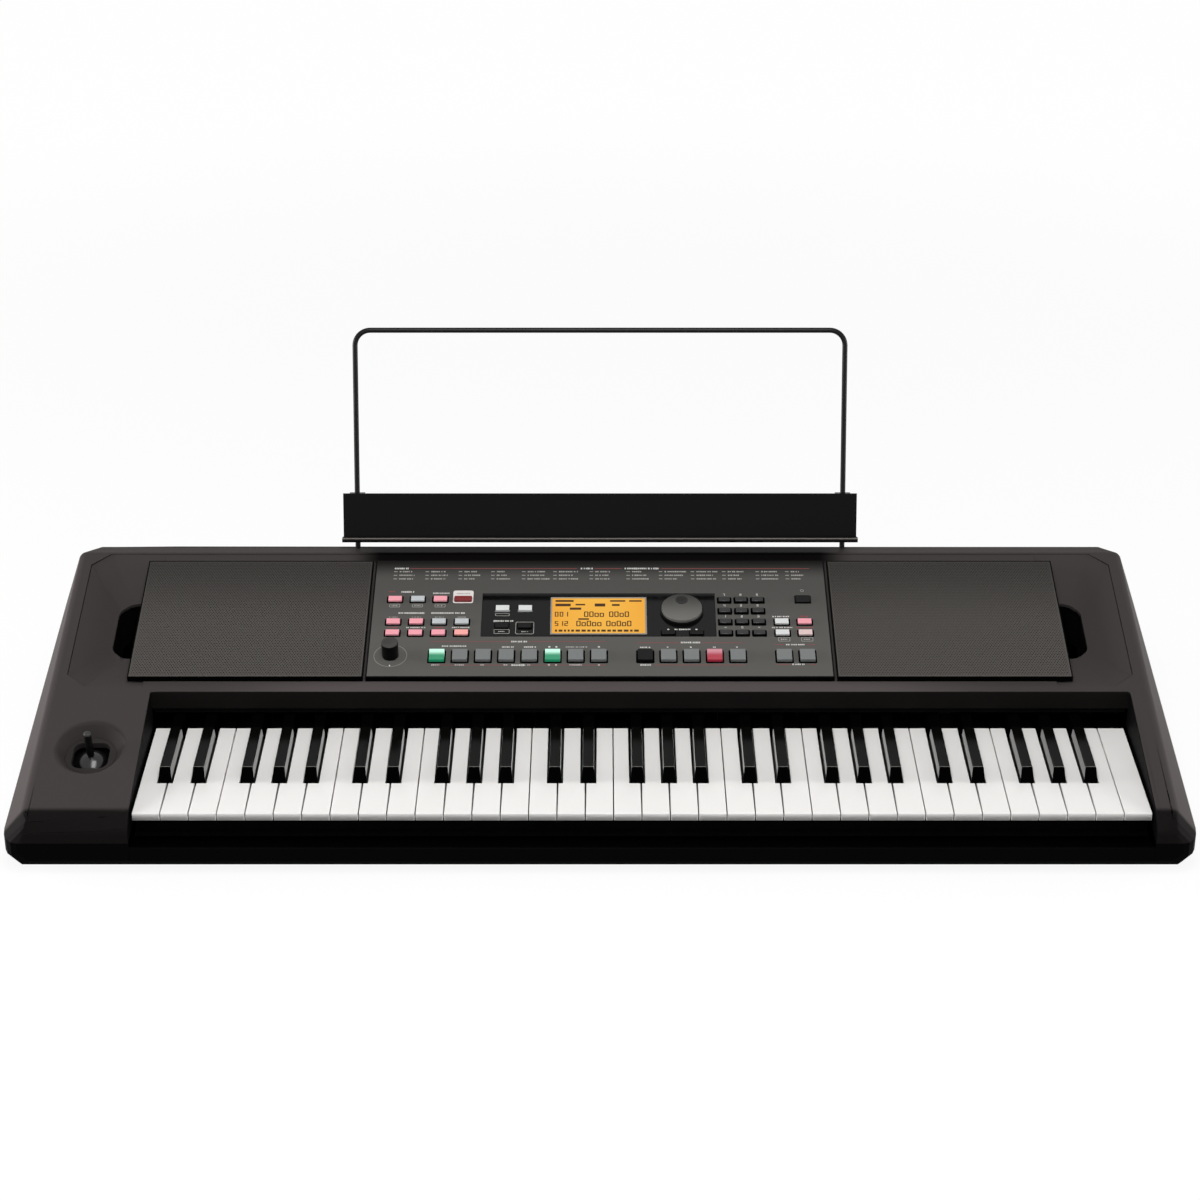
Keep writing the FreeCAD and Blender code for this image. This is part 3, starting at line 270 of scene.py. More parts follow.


# Painted shade on the panel: a painted shadow band along its front and side edges, a painted shadow under the
# music rest, and darker towards the back.
def panel_painted_shade(finish):
    y = finish.axis("Y")
    front_edge = finish.ramp(y, panel_front_y + 0.9 * mm, panel_front_y + 1.7 * mm)
    side_edge = finish.ramp(abs(finish.axis("X")), (panel_half_width - 0.9) * mm,
                            (panel_half_width - 1.5) * mm)
    toward_rest = finish.ramp(y, *panel_rest_y) * 0.94 + 0.06
    return toward_rest * (finish.ramp(y, *panel_back_y) * 0.25 + 0.75) * front_edge * side_edge


# Painted shade on the grilles: darker towards the back.
def grille_painted_shade(finish):
    return finish.ramp(finish.axis("Y"), *grille_back_y) * 0.4 + 0.5


dial_low, dial_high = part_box("value_dial")


# Painted shade on the dial: darker towards its back.
def dial_painted_shade(finish):
    return finish.ramp(finish.axis("Y"), dial_high[1], dial_low[1]) * 0.75 + 0.25


# %% The plastics
plastics = {
    "case_grey": ((79, 74, 73), 0.5, 700, 40, 0.012, 0.12, case_painted_shade),
    "matt_black_and_shade": ((3, 3, 3), 0.9, 900, 10, 0.0),
    "rim_shadow_line": ((22, 20, 19), 0.6, 700, 20, 0.04),
    "tub_black": ((4, 4, 4), 0.5, 700, 40, 0.012),
    "rail_black": ((4, 4, 4), 0.5, 900, 20, 0.012),
    "well_black": ((7, 7, 7), 0.6, 900, 20, 0.03),
    "fall_black": ((19, 18, 17), 0.5, 700, 30, 0.03),
    "panel_grey": ((86, 85, 82), 0.42, 1100, 20, 0.05, 0.12, panel_painted_shade),
    "grille_grey": ((79, 76, 73), 0.5, 1100, 20, 0.06, 0.12, grille_painted_shade),
    "grille_dark": ((20, 20, 19), 0.8, 1100, 20, 0.05),
    "cover_black": ((9, 9, 9), 0.05, 300, 1, 0.15, 0.05),
    "ebony_black": ((7, 7, 6), 0.16, 260, 4, 0.035, 0.1),
    "ebony_painted_highlight": ((92, 92, 88), 0.3, 260, 2, 0.1, 0.1),
    "ebony_side": ((6, 6, 6), 0.07, 260, 2, 0.6, 0.1),
    "plain_black": ((10, 10, 10), 0.42, 900, 20, 0.12),
    "glossy_black": ((12, 12, 12), 0.2, 900, 10, 0.45),
    "knob_black": ((7, 7, 7), 0.35, 900, 20, 0.08),
    "knob_grey": ((60, 59, 57), 0.4, 900, 20, 0.1),
    "dial_grey": ((104, 103, 99), 0.38, 1300, 30, 0.1, 0.12, dial_painted_shade),
    "dimple_painted_shade": ((38, 37, 36), 0.25, 1300, 10, 0.12),
    "wire_black": ((8, 8, 8), 0.35, 1200, 10, 0.15),
    "tray_black": ((7, 7, 7), 0.42, 1200, 20, 0.07),
    "tip_highlight": ((52, 52, 50), 0.4, 1200, 10, 0.15),
    "tray_lip_highlight": ((92, 87, 82), 0.4, 1200, 10, 0.2),
    "cap_grey": ((112, 115, 114), 0.36, 900, 10, 0.2, 0.1),
    "cap_dark_red": ((112, 18, 20), 0.3, 900, 10, 0.3, 0.06),
    "label_white": ((214, 208, 204), 0.5, 900, 5, 0.2, 0.05),
    "foot_rubber": ((14, 14, 14), 0.8, 500, 40, 0.1),
    "contact_rubber": ((110, 110, 108), 0.7, 500, 30, 0.2),
    "board_green": ((30, 88, 52), 0.4, 400, 10, 0.4),
    "cone_paper": ((22, 22, 22), 0.9, 220, 100, 0.1),
    "felt_black": ((9, 9, 9), 0.95, 1500, 100, 0.03, 0.3),
}
cap_tones = {
    "cap_pink": (232, 156, 166), "cap_salmon": (238, 164, 156), "cap_pale_pink": (212, 188, 184),
    "cap_light_grey": (182, 186, 188), "cap_white": (208, 210, 208),
}
for name, recipe in plastics.items():
    moulded(name, *recipe)
for name, tone in cap_tones.items():
    moulded(name, tone, 0.4, 900, 10, 0.25, 0.06)

# %% [markdown]
# ## Key ivory and lit caps
# A white key's cap is ivory-coloured only where the player sees it, and painted a little darker towards its
# front as painted shade, so that its front and back look evenly lit. Behind the fall board the key is painted
# near black as painted shade, so the gap there stays black. A few caps are lit from inside: their glow is an
# emission, brightest along the lamp line, where the brighter band is also a painted highlight.

# %% Ivory and glowing caps
white_length = 142.0 * mm
fallboard_y = key_front_y + white_length


def ivory(name, tone):
    finish = Finish(name)
    y = finish.axis("Y")
    # Painted shade: behind the fall board the key is painted near black.
    stick = y > fallboard_y + 0.4 * mm
    clouds = finish.noise(18.0)
    fine = finish.noise(260.0)
    # Painted shade: the cap is darker towards its front.
    front_shade = finish.ramp(y, fallboard_y - 40 * mm, key_front_y + 30 * mm)
    cap = finish.blend(clouds * 0.2 + front_shade * 0.8, tone, shade(tone, 0.835))
    finish.surface(Base_Color=finish.blend(stick, cap, colour(7, 7, 7)),
                   Roughness=(fine - 0.5) * 0.06 + 0.24, Specular_IOR_Level=0.14,
                   Normal=finish.bump(fine, 6 * micrometre))


def lit_cap(name, edge_tone, lamp_tone, glow):
    finish = Finish(name)
    # The glow is the caps' lamp; its brighter band along the lamp line is also a painted highlight.
    lamp = finish.ramp(abs(finish.axis("Y") - lamp_y), lamp_reach, 0.0)
    clouds = finish.noise(160.0)
    tone = finish.blend(lamp, edge_tone, lamp_tone)
    finish.surface(Base_Color=finish.blend(clouds, edge_tone, shade(edge_tone, 1.3)), Roughness=0.3,
                   Emission_Color=tone, Emission_Strength=glow)


lamp_y = (slope @ Vector((0, row_s(lamp_row), panel_n)))[1]
lamp_reach = 7.0 * mm
ivory("ivory_white", colour(248, 246, 243))
lit_cap("cap_green", colour(22, 100, 70), colour(214, 252, 236), 0.95)
lit_cap("cap_red", colour(132, 34, 48), colour(214, 190, 200), 0.45)

# %% [markdown]
# ## Metal
# The socket shell, screws and speaker baskets are bright plated steel with faint drawn lines. The pivot rod
# and the springs are dark steel, so that they don't glint under the fall board.

# %% Steel
def plated(name, tone, roughness):
    finish = Finish(name)
    lines = finish.noise(60.0, 4.0, finish.object_coords(scale=(1, 30, 30)))
    finish.surface(Base_Color=finish.blend(lines, shade(tone, 0.8), tone), Metallic=1.0,
                   Roughness=(lines - 0.5) * 0.2 + roughness)


plated("plated_steel", colour(190, 188, 184), 0.3)
plated("dark_steel", colour(30, 30, 30), 0.5)

# %% [markdown]
# ## Soft edges on copies of the solids
# A moulding has no knife edges. Each piece that shows is a copy of its solid: its triangles are joined, flat
# faces made whole, then a Bevel modifier rounds the edges by a weight that a small rule gives each one.
# Weighted normals keep the big faces flat in the light.

# %% Copies with rounded edges
slope_up = (slope.to_3x3() @ Vector((0, 0, 1))).normalized()
weld_gap, cut_gap = 2e-6, 1e-6
flat_angle, sharp_angle = math.radians(0.6), math.radians(18)


def rise(face):
    return face.normal.dot(slope_up)


def joined_copy(node):
    shape = bmesh.new()
    shape.from_mesh(nodes[node].data)
    bmesh.ops.remove_doubles(shape, verts=shape.verts, dist=weld_gap)
    bmesh.ops.dissolve_limit(shape, angle_limit=flat_angle, verts=shape.verts, edges=shape.edges)
    return shape


def plain_mesh(piece):
    bpy.context.view_layer.update()
    graph = bpy.context.evaluated_depsgraph_get()
    mesh = bpy.data.meshes.new_from_object(piece.evaluated_get(graph), preserve_all_data_layers=True,
                                           depsgraph=graph)
    piece.modifiers.clear()
    piece.data = mesh
    return piece


def mesh_of(name, shape):
    mesh = bpy.data.meshes.new(name)
    shape.to_mesh(mesh)
    shape.free()
    return mesh


def new_piece(name, shape, finishes):
    piece = added(name, mesh_of(name, shape))
    for finish in finishes:
        piece.data.materials.append(finish_named[finish])
    return piece


def smooth(piece, angle=35):
    piece.data.polygons.foreach_set("use_smooth", [True] * len(piece.data.polygons))
    piece.data.set_sharp_from_angle(angle=math.radians(angle))
    normals = piece.modifiers.new("flat faces", "WEIGHTED_NORMAL")
    normals.keep_sharp = True
    return plain_mesh(piece)


def round_edges(piece_name, shape, radius_of, finishes, widest, segments=3, angle=35):
    weight = shape.edges.layers.float.new("bevel_weight_edge")
    for edge in shape.edges:
        if len(edge.link_faces) == 2 and edge.calc_face_angle(0.0) > sharp_angle:
            edge[weight] = min(1.0, radius_of(edge) / widest)
    piece = new_piece(piece_name, shape, finishes)
    bevel = piece.modifiers.new("round", "BEVEL")
    bevel.limit_method = "WEIGHT"
    bevel.width = widest * mm
    bevel.segments = segments
    bevel.use_clamp_overlap = False
    return smooth(plain_mesh(piece), angle)


def stands_for(piece, node):
    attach(piece, body_of_node[node])
    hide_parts(node)


def islands(shape):
    left, found = set(shape.faces), []
    while left:
        group, stack = [], [left.pop()]
        while stack:
            group.append(stack.pop())
            near = {face for edge in group[-1].edges for face in edge.link_faces} & left
            left -= near
            stack.extend(near)
        found.append(group)
    return found


def middle(edge):
    return (edge.verts[0].co + edge.verts[1].co) / 2 / mm


def on_slope(point):
    return unslope @ point


def extent(points, axis):
    return min(point[axis] for point in points), max(point[axis] for point in points)


def smooth_copy(name, node, finishes, choose=None, angle=35):
    shape = joined_copy(node)
    if choose:
        for face in shape.faces:
            face.material_index = choose(on_slope(face.calc_center_median()), rise(face))
    stands_for(smooth(new_piece(name, shape, finishes), angle), node)


def slice_at(shape, y):
    whole = shape.verts[:] + shape.edges[:] + shape.faces[:]
    bmesh.ops.bisect_plane(shape, geom=whole, dist=cut_gap, plane_co=(0, y, 0), plane_no=(0, 1, 0))


def on_case(piece):
    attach(piece, "case")


# %% [markdown]
# ## Case top
# The big moulding leans in at both sides, rolls over at the front of the two cheeks and falls away behind a
# crest. Its twisted sides come as many thin triangles, so each is made one face again and cut into a tidy
# grid before the long edges are rounded. The key well's walls are a matt black, and the rest is warm grey.
# The first rule that applies gives an edge its radius, from where it lies and which way its faces look.

# %% Case top
well_left_x, well_right_x = -390.2, 459.8
fallboard_edge_y, crest_y, back_edge_y, back_y = -55.15, 130.0, 155.9, 180.9
side_fold_x = 477.5
side_x, side_front_y, side_cuts = 476, -191.5, 12
rear_x, rear_back_y = 464, 155.5
corner_x, corner_y, corner_z, corner_weld = 470.5, -204.5, 51.5, 2.6
long_edge = 0.2
well_margin, well_slack, strip_y = 4, 3, -51
well_front_y, well_back_y, fall_y = -198, -40, -60
rim_x, rim_y, rim_angle, rim_shadow_width = (405, 468), (-45, 128), math.radians(8), 0.7


def merge_faces(shape, wanted):
    faces = [face for face in shape.faces if wanted(face.calc_center_median() / mm, face.normal)]
    return bmesh.ops.dissolve_faces(shape, faces=faces, use_verts=False)["region"]


def split_evenly(edge, count):
    near, far = edge.verts
    for left in range(count, 1, -1):
        near = bmesh.utils.edge_split(edge, near, 1 / left)[1]
        edge = next(found for found in near.link_edges if found.other_vert(near) is far)


def tidy_sides(shape):
    for side in (-1, 1):
        whole = merge_faces(shape, lambda at, normal: side * normal.x > 0.72 and side * at.x > side_x
                            and side_front_y < at.y < crest_y + 0.5 and normal.z > 0.2 and normal.y < 0)
        merge_faces(shape, lambda at, normal: side * normal.x > 0.6 and side * at.x > rear_x
                    and crest_y < at.y < rear_back_y and normal.y > 0.3 and normal.z > 0.1)
        corner = [vert for vert in shape.verts if side * vert.co.x > corner_x * mm
                  and vert.co.y < corner_y * mm and vert.co.z > corner_z * mm]
        bmesh.ops.remove_doubles(shape, verts=corner, dist=corner_weld * mm)
        long_edges = [edge for edge in whole[0].edges if edge.calc_length() > long_edge]
        bmesh.ops.delete(shape, geom=whole, context="FACES_ONLY")
        for edge in long_edges:
            split_evenly(edge, side_cuts)
        rails = [edge for edge in shape.edges if len(edge.link_faces) == 1
                 and abs(edge.verts[0].co.x - edge.verts[1].co.x) < 1e-5]
        bmesh.ops.bridge_loops(shape, edges=rails)
    bmesh.ops.recalc_face_normals(shape, faces=shape.faces)


def case_radius(edge):
    at = middle(edge)
    across, up = abs(at.x), max(face.normal.z for face in edge.link_faces)
    front = min(face.normal.y for face in edge.link_faces)
    lean = max(abs(rise(face)) for face in edge.link_faces)
    rules = (
        (394 < across < 440 and -20 < at.y < 110 and lean < 0.3, 5.0),
        (not edge.is_convex, 0.0),
        (abs(across - side_fold_x) < 0.2 and up > 0.9, 5.0),
        (at.z > 131.5 and abs(at.y - crest_y) < 1, 1.3),
        (at.y > crest_y + 1 and across > 440 and up > 0.25, 2.5),
        (min(abs(at.y - back_edge_y), abs(at.y - back_y)) < 0.3 and across < 440 and at.z > 90, 3.0),
        (at.y < -197 and front < -0.55 and up > 0.4 and across < 472 and edge.calc_length() > 0.01,
         0.6 if well_left_x - 1 <= at.x <= well_right_x + 1 else 4.0),
        (at.y < -190 and up > 0.9 and across > 472, 3.0),
        (abs(at.y - fallboard_edge_y) < 0.5 and at.z > 80, 1.2),
        (min(abs(at.x - well_left_x), abs(at.x - well_right_x)) < 0.1 and up > 0.5, 0.8),
    )
    return next((radius for applies, radius in rules if applies), 0.0)


def cut_across(shape, point, normal):
    faces = [face for face in shape.faces if face.normal.z > 0.9 and len(face.verts) > 6]
    geometry = faces + list({edge for face in faces for edge in face.edges})
    geometry += list({vert for face in faces for vert in face.verts})
    bmesh.ops.bisect_plane(shape, geom=geometry, dist=cut_gap, plane_co=Vector(point) * mm, plane_no=normal)


def on_recess_rim(edge):
    at = middle(edge)
    tops = [face for face in edge.link_faces if rise(face) > 0.9995]
    return (edge.is_convex and len(tops) == 1 and rim_x[0] < abs(at.x) < rim_x[1]
            and rim_y[0] < at.y < rim_y[1] and edge.calc_face_angle(0.0) > rim_angle)


case_shape = joined_copy("upper_case")
tidy_sides(case_shape)
cut_across(case_shape, (well_left_x - well_margin, 0, 0), (1, 0, 0))
cut_across(case_shape, (well_right_x + well_margin, 0, 0), (1, 0, 0))
cut_across(case_shape, (0, strip_y, 0), (0, 1, 0))
# A thin band along the rim of each speaker recess is painted dark as painted shadow.
rim = [edge for edge in case_shape.edges if on_recess_rim(edge)]
rim_shadow_faces = bmesh.ops.bevel(case_shape, geom=rim, offset=rim_shadow_width * mm, offset_type="OFFSET", segments=1,
                            profile=0.5, affect="EDGES")["faces"]
for face in case_shape.faces:
    at = face.calc_center_median() / mm
    inside_well = (well_left_x - well_slack < at.x < well_right_x + well_slack
                   and well_front_y < at.y < well_back_y and face.normal.z < 0.5)
    face.material_index = 1 if inside_well else 0
    if inside_well and face.normal.y < -0.5 and at.y > fall_y:
        face.material_index = 3
for face in rim_shadow_faces:
    face.material_index = 2
case_finishes = ["case_grey", "well_black", "rim_shadow_line", "fall_black"]
stands_for(round_edges("case_top", case_shape, case_radius, case_finishes, 5.0, 5, 20), "upper_case")

# %% [markdown]
# ## Front rail
# The rail in front of the keys is a plain black strip with a small round on its long edges.

# %% Rail
def rail_radius(edge):
    return 0.8 if edge.is_convex and edge.calc_length() > 0.05 else 0.0


stands_for(round_edges("rail", joined_copy("front_rail"), rail_radius, ["rail_black"], 0.8, 2), "front_rail")

# %% [markdown]
# ## Keys
# The solids already have their fronts rounded. Copies of the white keys get a small round along their sides.
# A black key is polished on its sides, satin on top and dull on its front slope. Under the fall board it is
# painted near black as painted shade, and a painted highlight line runs where its top meets the front slope.

# %% Keys
ebony_shade_y = key_front_y + 123.5 * mm
highlight_line_width = 0.8 * mm
key_lip = 7.1 * mm
key_round = 0.6


# Part 2 is dull black: a matt finish on the front slope, painted shade behind the fall board. Part 3 is a
# painted highlight line.
def ebony_part(normal, at, highlight_line_y):
    if at.y > ebony_shade_y or normal.y < -0.55:
        return 2
    if normal.z > 0.8 and at.y < highlight_line_y:
        return 3
    return 1 if abs(normal.x) > 0.3 or normal.y < -0.15 else 0


def key_radius(edge):
    sides = [face.normal for face in edge.link_faces if abs(face.normal.x) > 0.9]
    others = [face.normal for face in edge.link_faces if abs(face.normal.x) < 0.1]
    at = middle(edge) * mm
    shown = at.y < fallboard_y and at.z > key_plane_z - key_lip
    if shown and edge.is_convex and len(sides) == len(others) == 1:
        return key_round if others[0].z > -0.1 and others[0].y < 0.1 else 0.0
    return 0.0


for node in nodes:
    if node.startswith("octave_") or node == "top_c_key":
        shape = joined_copy(node)
        if "black" in node:
            finishes = ["ebony_black", "ebony_side", "matt_black_and_shade", "ebony_painted_highlight"]
            tops = [face for face in shape.faces
                    if face.normal.z > 0.95 and face.calc_center_median().z > key_plane_z]
            highlight_line_y = min(vert.co.y for face in tops for vert in face.verts) + highlight_line_width
            for cut_y in (ebony_shade_y, highlight_line_y):
                slice_at(shape, cut_y)
            for face in shape.faces:
                face.material_index = ebony_part(face.normal, face.calc_center_median(), highlight_line_y)
            stands_for(smooth(new_piece(node + "_caps", shape, finishes)), node)
        else:
            stands_for(round_edges(node + "_caps", shape, key_radius, ["ivory_white"], key_round), node)

# %% [markdown]
# ## Buttons
# One solid holds a whole row of caps, and each cap is an island of its mesh. The islands are put in reading
# order, back row first, and each takes the finish that its place in the row has.

# %% Buttons
cap_finishes = {
    "mode_buttons": ["cap_pink", "cap_light_grey", "cap_pink"],
    "record_button": ["cap_dark_red"],
    "part_buttons": ["cap_pink"] * 2 + ["cap_light_grey"] * 2 + ["cap_pink"] * 3 + ["cap_salmon"],
    "style_buttons": ["cap_green"] + ["cap_grey"] * 4 + ["cap_green"] + ["cap_grey"] * 2,
    "set_buttons": ["plain_black", "cap_grey", "cap_grey", "cap_red", "cap_grey"],
    "right_buttons": ["cap_white", "cap_pink", "cap_white", "cap_pale_pink", "cap_grey", "cap_grey"],
    "display_buttons": ["cap_white", "cap_white"] + ["plain_black"] * 4,
    "keypad_buttons": ["glossy_black"] * 12,
    "power_button": ["plain_black"],
}
row_height = 7
cap_places = {}
for node, finishes in cap_finishes.items():
    shape = joined_copy(node)
    caps = []
    for group in islands(shape):
        points = [on_slope(vert.co) for face in group for vert in face.verts]
        tops = [point for point in points if point.z > panel_n + 0.3]
        (low_x, high_x), (low_s, high_s) = extent(tops, 0), extent(tops, 1)
        caps.append(((low_x + high_x) / 2, (low_s + high_s) / 2, high_x - low_x, high_s - low_s, group))
    caps.sort(key=lambda cap: (-round(cap[1] / row_height), cap[0]))
    palette = list(dict.fromkeys(finishes))
    for cap, finish in zip(caps, finishes):
        for face in cap[4]:
            face.material_index = palette.index(finish)
    cap_places[node] = [cap[:4] for cap in caps]
    stands_for(smooth(new_piece(node + "_caps", shape, palette)), node)

# %% [markdown]
# ## Knob, dial and joystick
# These are turned shapes with up to three finishes each, told apart by place or by which way a face looks:
# the knob's dished top, the dial's grey disc on its black skirt with its dimple painted darker as painted
# shade, and the stick's tip painted paler as a painted highlight.

# %% Turned controls
knob_top_n = 15
skirt_height, dimple_off, dimple_radius = 2.4, 9.6, 5.5
tip_length = 6.5

smooth_copy("knob", "volume_knob", ["knob_black", "knob_grey"],
            lambda at, up: 1 if up > 0.6 and at.z > knob_top_n else 0)
dial_at = on_slope((Vector(dial_low) + Vector(dial_high)) / 2)


# Part 2, the dimple, is painted darker as painted shade.
def dial_part(at, up):
    if at.z < panel_n + skirt_height:
        return 0
    in_dimple = math.hypot(at.x - dial_at.x, at.y - dial_at.y - dimple_off) < dimple_radius
    return 2 if in_dimple and at.z < dial_top - 0.02 else 1


dial_top = max(on_slope(vert.co).z for vert in nodes["value_dial"].data.vertices)
smooth_copy("dial", "value_dial", ["plain_black", "dial_grey", "dimple_painted_shade"], dial_part)
# The top of the stick is painted paler as a painted highlight.
stick_tip = max(on_slope(vert.co).z for vert in nodes["joystick_stick"].data.vertices) - tip_length
smooth_copy("stick", "joystick_stick", ["glossy_black", "tip_highlight"],
            lambda at, up: 1 if at.z > stick_tip else 0)
smooth_copy("stick_ring", "joystick_housing", ["case_grey"])

# %% [markdown]
# ## Panel, cover and music rest
# The panel is a flat moulding with a crisp small round, and its side faces are painted black as painted
# shade. The display's cover is a dark sheet. The rest is a bent wire with a flat tray, whose ledge has a thin
# painted highlight along its lip.

# %% Panel, cover and rest
lip_highlight_width = 1.8 * mm
panel_round = 0.5


def panel_radius(edge):
    at = on_slope(middle(edge) * mm)
    ups = [rise(face) for face in edge.link_faces]
    on_rim = edge.is_convex and max(ups) > 0.9 and at.z > panel_n - 0.1
    return panel_round if on_rim and edge.calc_length() > 0.03 else 0.0


panel_shape = joined_copy("control_panel")
# Side faces are painted black as painted shade along the panel's edges.
for face in panel_shape.faces:
    face.material_index = 0 if rise(face) > 0.5 else 1
panel = round_edges("panel", panel_shape, panel_radius, ["panel_grey", "rail_black"], panel_round, 2)
stands_for(panel, "control_panel")
smooth_copy("cover", "display_cover", ["cover_black"])
smooth_copy("rest_wire", "music_rest_wire", ["wire_black"], angle=50)
tray_shape = joined_copy("music_rest_tray")
# A thin strip along the front of the tray's ledge is a painted highlight.
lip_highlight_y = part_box("music_rest_tray")[0][1] + lip_highlight_width
slice_at(tray_shape, lip_highlight_y)
for face in tray_shape.faces:
    face.material_index = 1 if face.normal.z > 0.5 and face.calc_center_median().y < lip_highlight_y else 0
stands_for(smooth(new_piece("rest_tray", tray_shape, ["tray_black", "tray_lip_highlight"]), 30), "music_rest_tray")

# %% [markdown]
# ## Speaker grilles
# Each grille is a thin plate with thousands of small round holes in staggered rows. Geometry Nodes lay one
# six-sided hole cell on every point of a grid and shift every other row by half a pitch. The cells are real
# sheet with hole walls. Below them lies a dark plate, which is the copy of the solid, sunk inside a thin rim.
# The sheet's ragged ends lie hidden under that rim.

# %% Hole cell
hole_pitch = 2.45
hole_radius = 0.62
row_pitch = hole_pitch * math.sqrt(3) / 2
sheet_n = panel_n - 0.02
sheet_depth = 0.5
edge_shadow_width = 1.5
rim_width = 2.2
sheet_inset = 0.8
cell_weld, plate_step = 0.02, 0.05

half_x, half_y = hole_pitch / 2, row_pitch / 2
corners_xy = [(half_x, -half_y), (half_x, half_y), (0, half_y),
              (-half_x, half_y), (-half_x, -half_y), (0, -half_y)]
turns = [math.atan2(y, x) for x, y in corners_xy]
cell_shape = bmesh.new()
outer = [cell_shape.verts.new((x, y, 0)) for x, y in corners_xy]
inner = [cell_shape.verts.new((hole_radius * math.cos(turn), hole_radius * math.sin(turn), 0))
         for turn in turns]
deep = [cell_shape.verts.new((vert.co.x, vert.co.y, -sheet_depth)) for vert in inner]
for here in range(6):
    after = (here + 1) % 6
    cell_shape.faces.new((outer[here], outer[after], inner[after], inner[here]))
    cell_shape.faces.new((inner[here], inner[after], deep[after], deep[here]))
cell = bpy.data.objects.new("hole_cell", mesh_of("hole_cell", cell_shape))

# %% Perforated sheet by Geometry Nodes
sheet_tree = bpy.data.node_groups.new("perforated_sheet", "GeometryNodeTree")
sheet_inputs = {}
for name, kind in (("Columns", "Int"), ("Rows", "Int"), ("Pitch", "Float"), ("Row Pitch", "Float")):
    socket = sheet_tree.interface.new_socket(name, in_out="INPUT", socket_type="NodeSocket" + kind)
    sheet_inputs[name] = socket.identifier
sheet_tree.interface.new_socket("Geometry", in_out="OUTPUT", socket_type="NodeSocketGeometry")
maker = NodeMaker(sheet_tree)
start = sheet_tree.nodes.new("NodeGroupInput").outputs
columns, rows, pitch_x, pitch_y = (Value(maker, start[name]) for name in sheet_inputs)
line = maker.node("GeometryNodeMeshLine", {"Count": columns * rows, "Offset": (0.0, 0.0, 0.0)}, mode="OFFSET")
index = maker.node("GeometryNodeInputIndex")
row = math.floor(index / columns + 0.0001)
stagger = row % 2.0 * 0.5 + (index - row * columns)
place = maker.node("ShaderNodeCombineXYZ", {0: stagger * pitch_x, 1: row * pitch_y})
points = maker.node("GeometryNodeSetPosition", {"Geometry": line, "Position": place})
holder = maker.node("GeometryNodeObjectInfo", {"Object": cell}, "Geometry")
cells = maker.node("GeometryNodeInstanceOnPoints", {"Points": points, "Instance": holder})
real = maker.node("GeometryNodeRealizeInstances", {"Geometry": cells})
maker.feed(sheet_tree.nodes.new("NodeGroupOutput").inputs[0], real)


def perforated_sheet(name, low_x, high_x, low_s, high_s):
    columns = int((high_x - low_x) / hole_pitch - 0.5)
    rows = int((high_s - low_s) / row_pitch)
    piece = new_piece(name, bmesh.new(), [])
    perforate = piece.modifiers.new("perforate", "NODES")
    perforate.node_group = sheet_tree
    sizes = {"Columns": columns, "Rows": rows, "Pitch": hole_pitch, "Row Pitch": row_pitch}
    for title, value in sizes.items():
        perforate[sheet_inputs[title]] = value
    plain_mesh(piece)
    piece.data.materials.clear()
    piece.data.materials.append(finish_named["grille_grey"])
    shift = Vector(((low_x + high_x - (columns - 0.5) * hole_pitch) / 2,
                    (low_s + high_s - (rows - 1) * row_pitch) / 2, sheet_n))
    joined = bmesh.new()
    joined.from_mesh(piece.data)
    bmesh.ops.remove_doubles(joined, verts=joined.verts, dist=cell_weld)
    joined.to_mesh(piece.data)
    joined.free()
    piece.data.transform(slope @ Matrix.Translation(shift))
    return piece


# %% Rim, dark plate and sheet of each grille
for side in ("left", "right"):
    node = side + "_speaker_grille"
    shape = joined_copy(node)
    top = [face for face in shape.faces if rise(face) > 0.99
           and on_slope(face.calc_center_median()).z > panel_n - 0.1]
    corners_here = [on_slope(vert.co) for face in top for vert in face.verts]
    (low_x, high_x), (low_s, high_s) = extent(corners_here, 0), extent(corners_here, 1)
    # The side faces and a band along the top's edges are black as painted shadow at the raised grille's
    # edges.
    for face in shape.faces:
        face.material_index = 1 if rise(face) < 0.5 else 0
    for face in bmesh.ops.inset_region(shape, faces=top, thickness=edge_shadow_width * mm, depth=0)["faces"]:
        face.material_index = 1
    bmesh.ops.inset_region(shape, faces=top, thickness=rim_width * mm, depth=0)
    bmesh.ops.inset_region(shape, faces=top, thickness=plate_step * mm,
                           depth=-(sheet_depth + plate_step) * mm)
    for face in top:
        face.material_index = 2
    grille_finishes = ["grille_grey", "rail_black", "grille_dark"]
    stands_for(smooth(new_piece(side + "_grille_frame", shape, grille_finishes), 30), node)
    sheet = perforated_sheet(side + "_grille_sheet", low_x + sheet_inset, high_x - sheet_inset,
                             low_s + sheet_inset, high_s - sheet_inset)
    on_case(sheet)
bpy.data.objects.remove(cell)

# %% [markdown]
# ## Printing
# Everything printed on the panel is a thin plate of ink a few hundredths of a millimetre high, drawn in slope
# millimetres. Words are only hinted at by short dashes in word-like groups, from a seeded draw.

# %% Ink helpers
ink_tones = {
    "ink_white": (196, 194, 190), "ink_grey": (158, 156, 150),
    "ink_red": (140, 70, 68), "ink_faint": (124, 120, 114),
}
for name, tone in ink_tones.items():
    moulded(name, tone, 0.6, 900, 2, 0.1, 0.05)
ink_finishes = ["ink_white", "ink_grey", "ink_red", "label_white", "matt_black_and_shade", "ink_faint"]
WHITE, GREY, RED, LABEL, GAP_SHADOW, FAINT = range(6)
ink_low, ink_high = -0.02, 0.05
red_width = 0.5
corner_steps = 4
dice = random.Random(61)


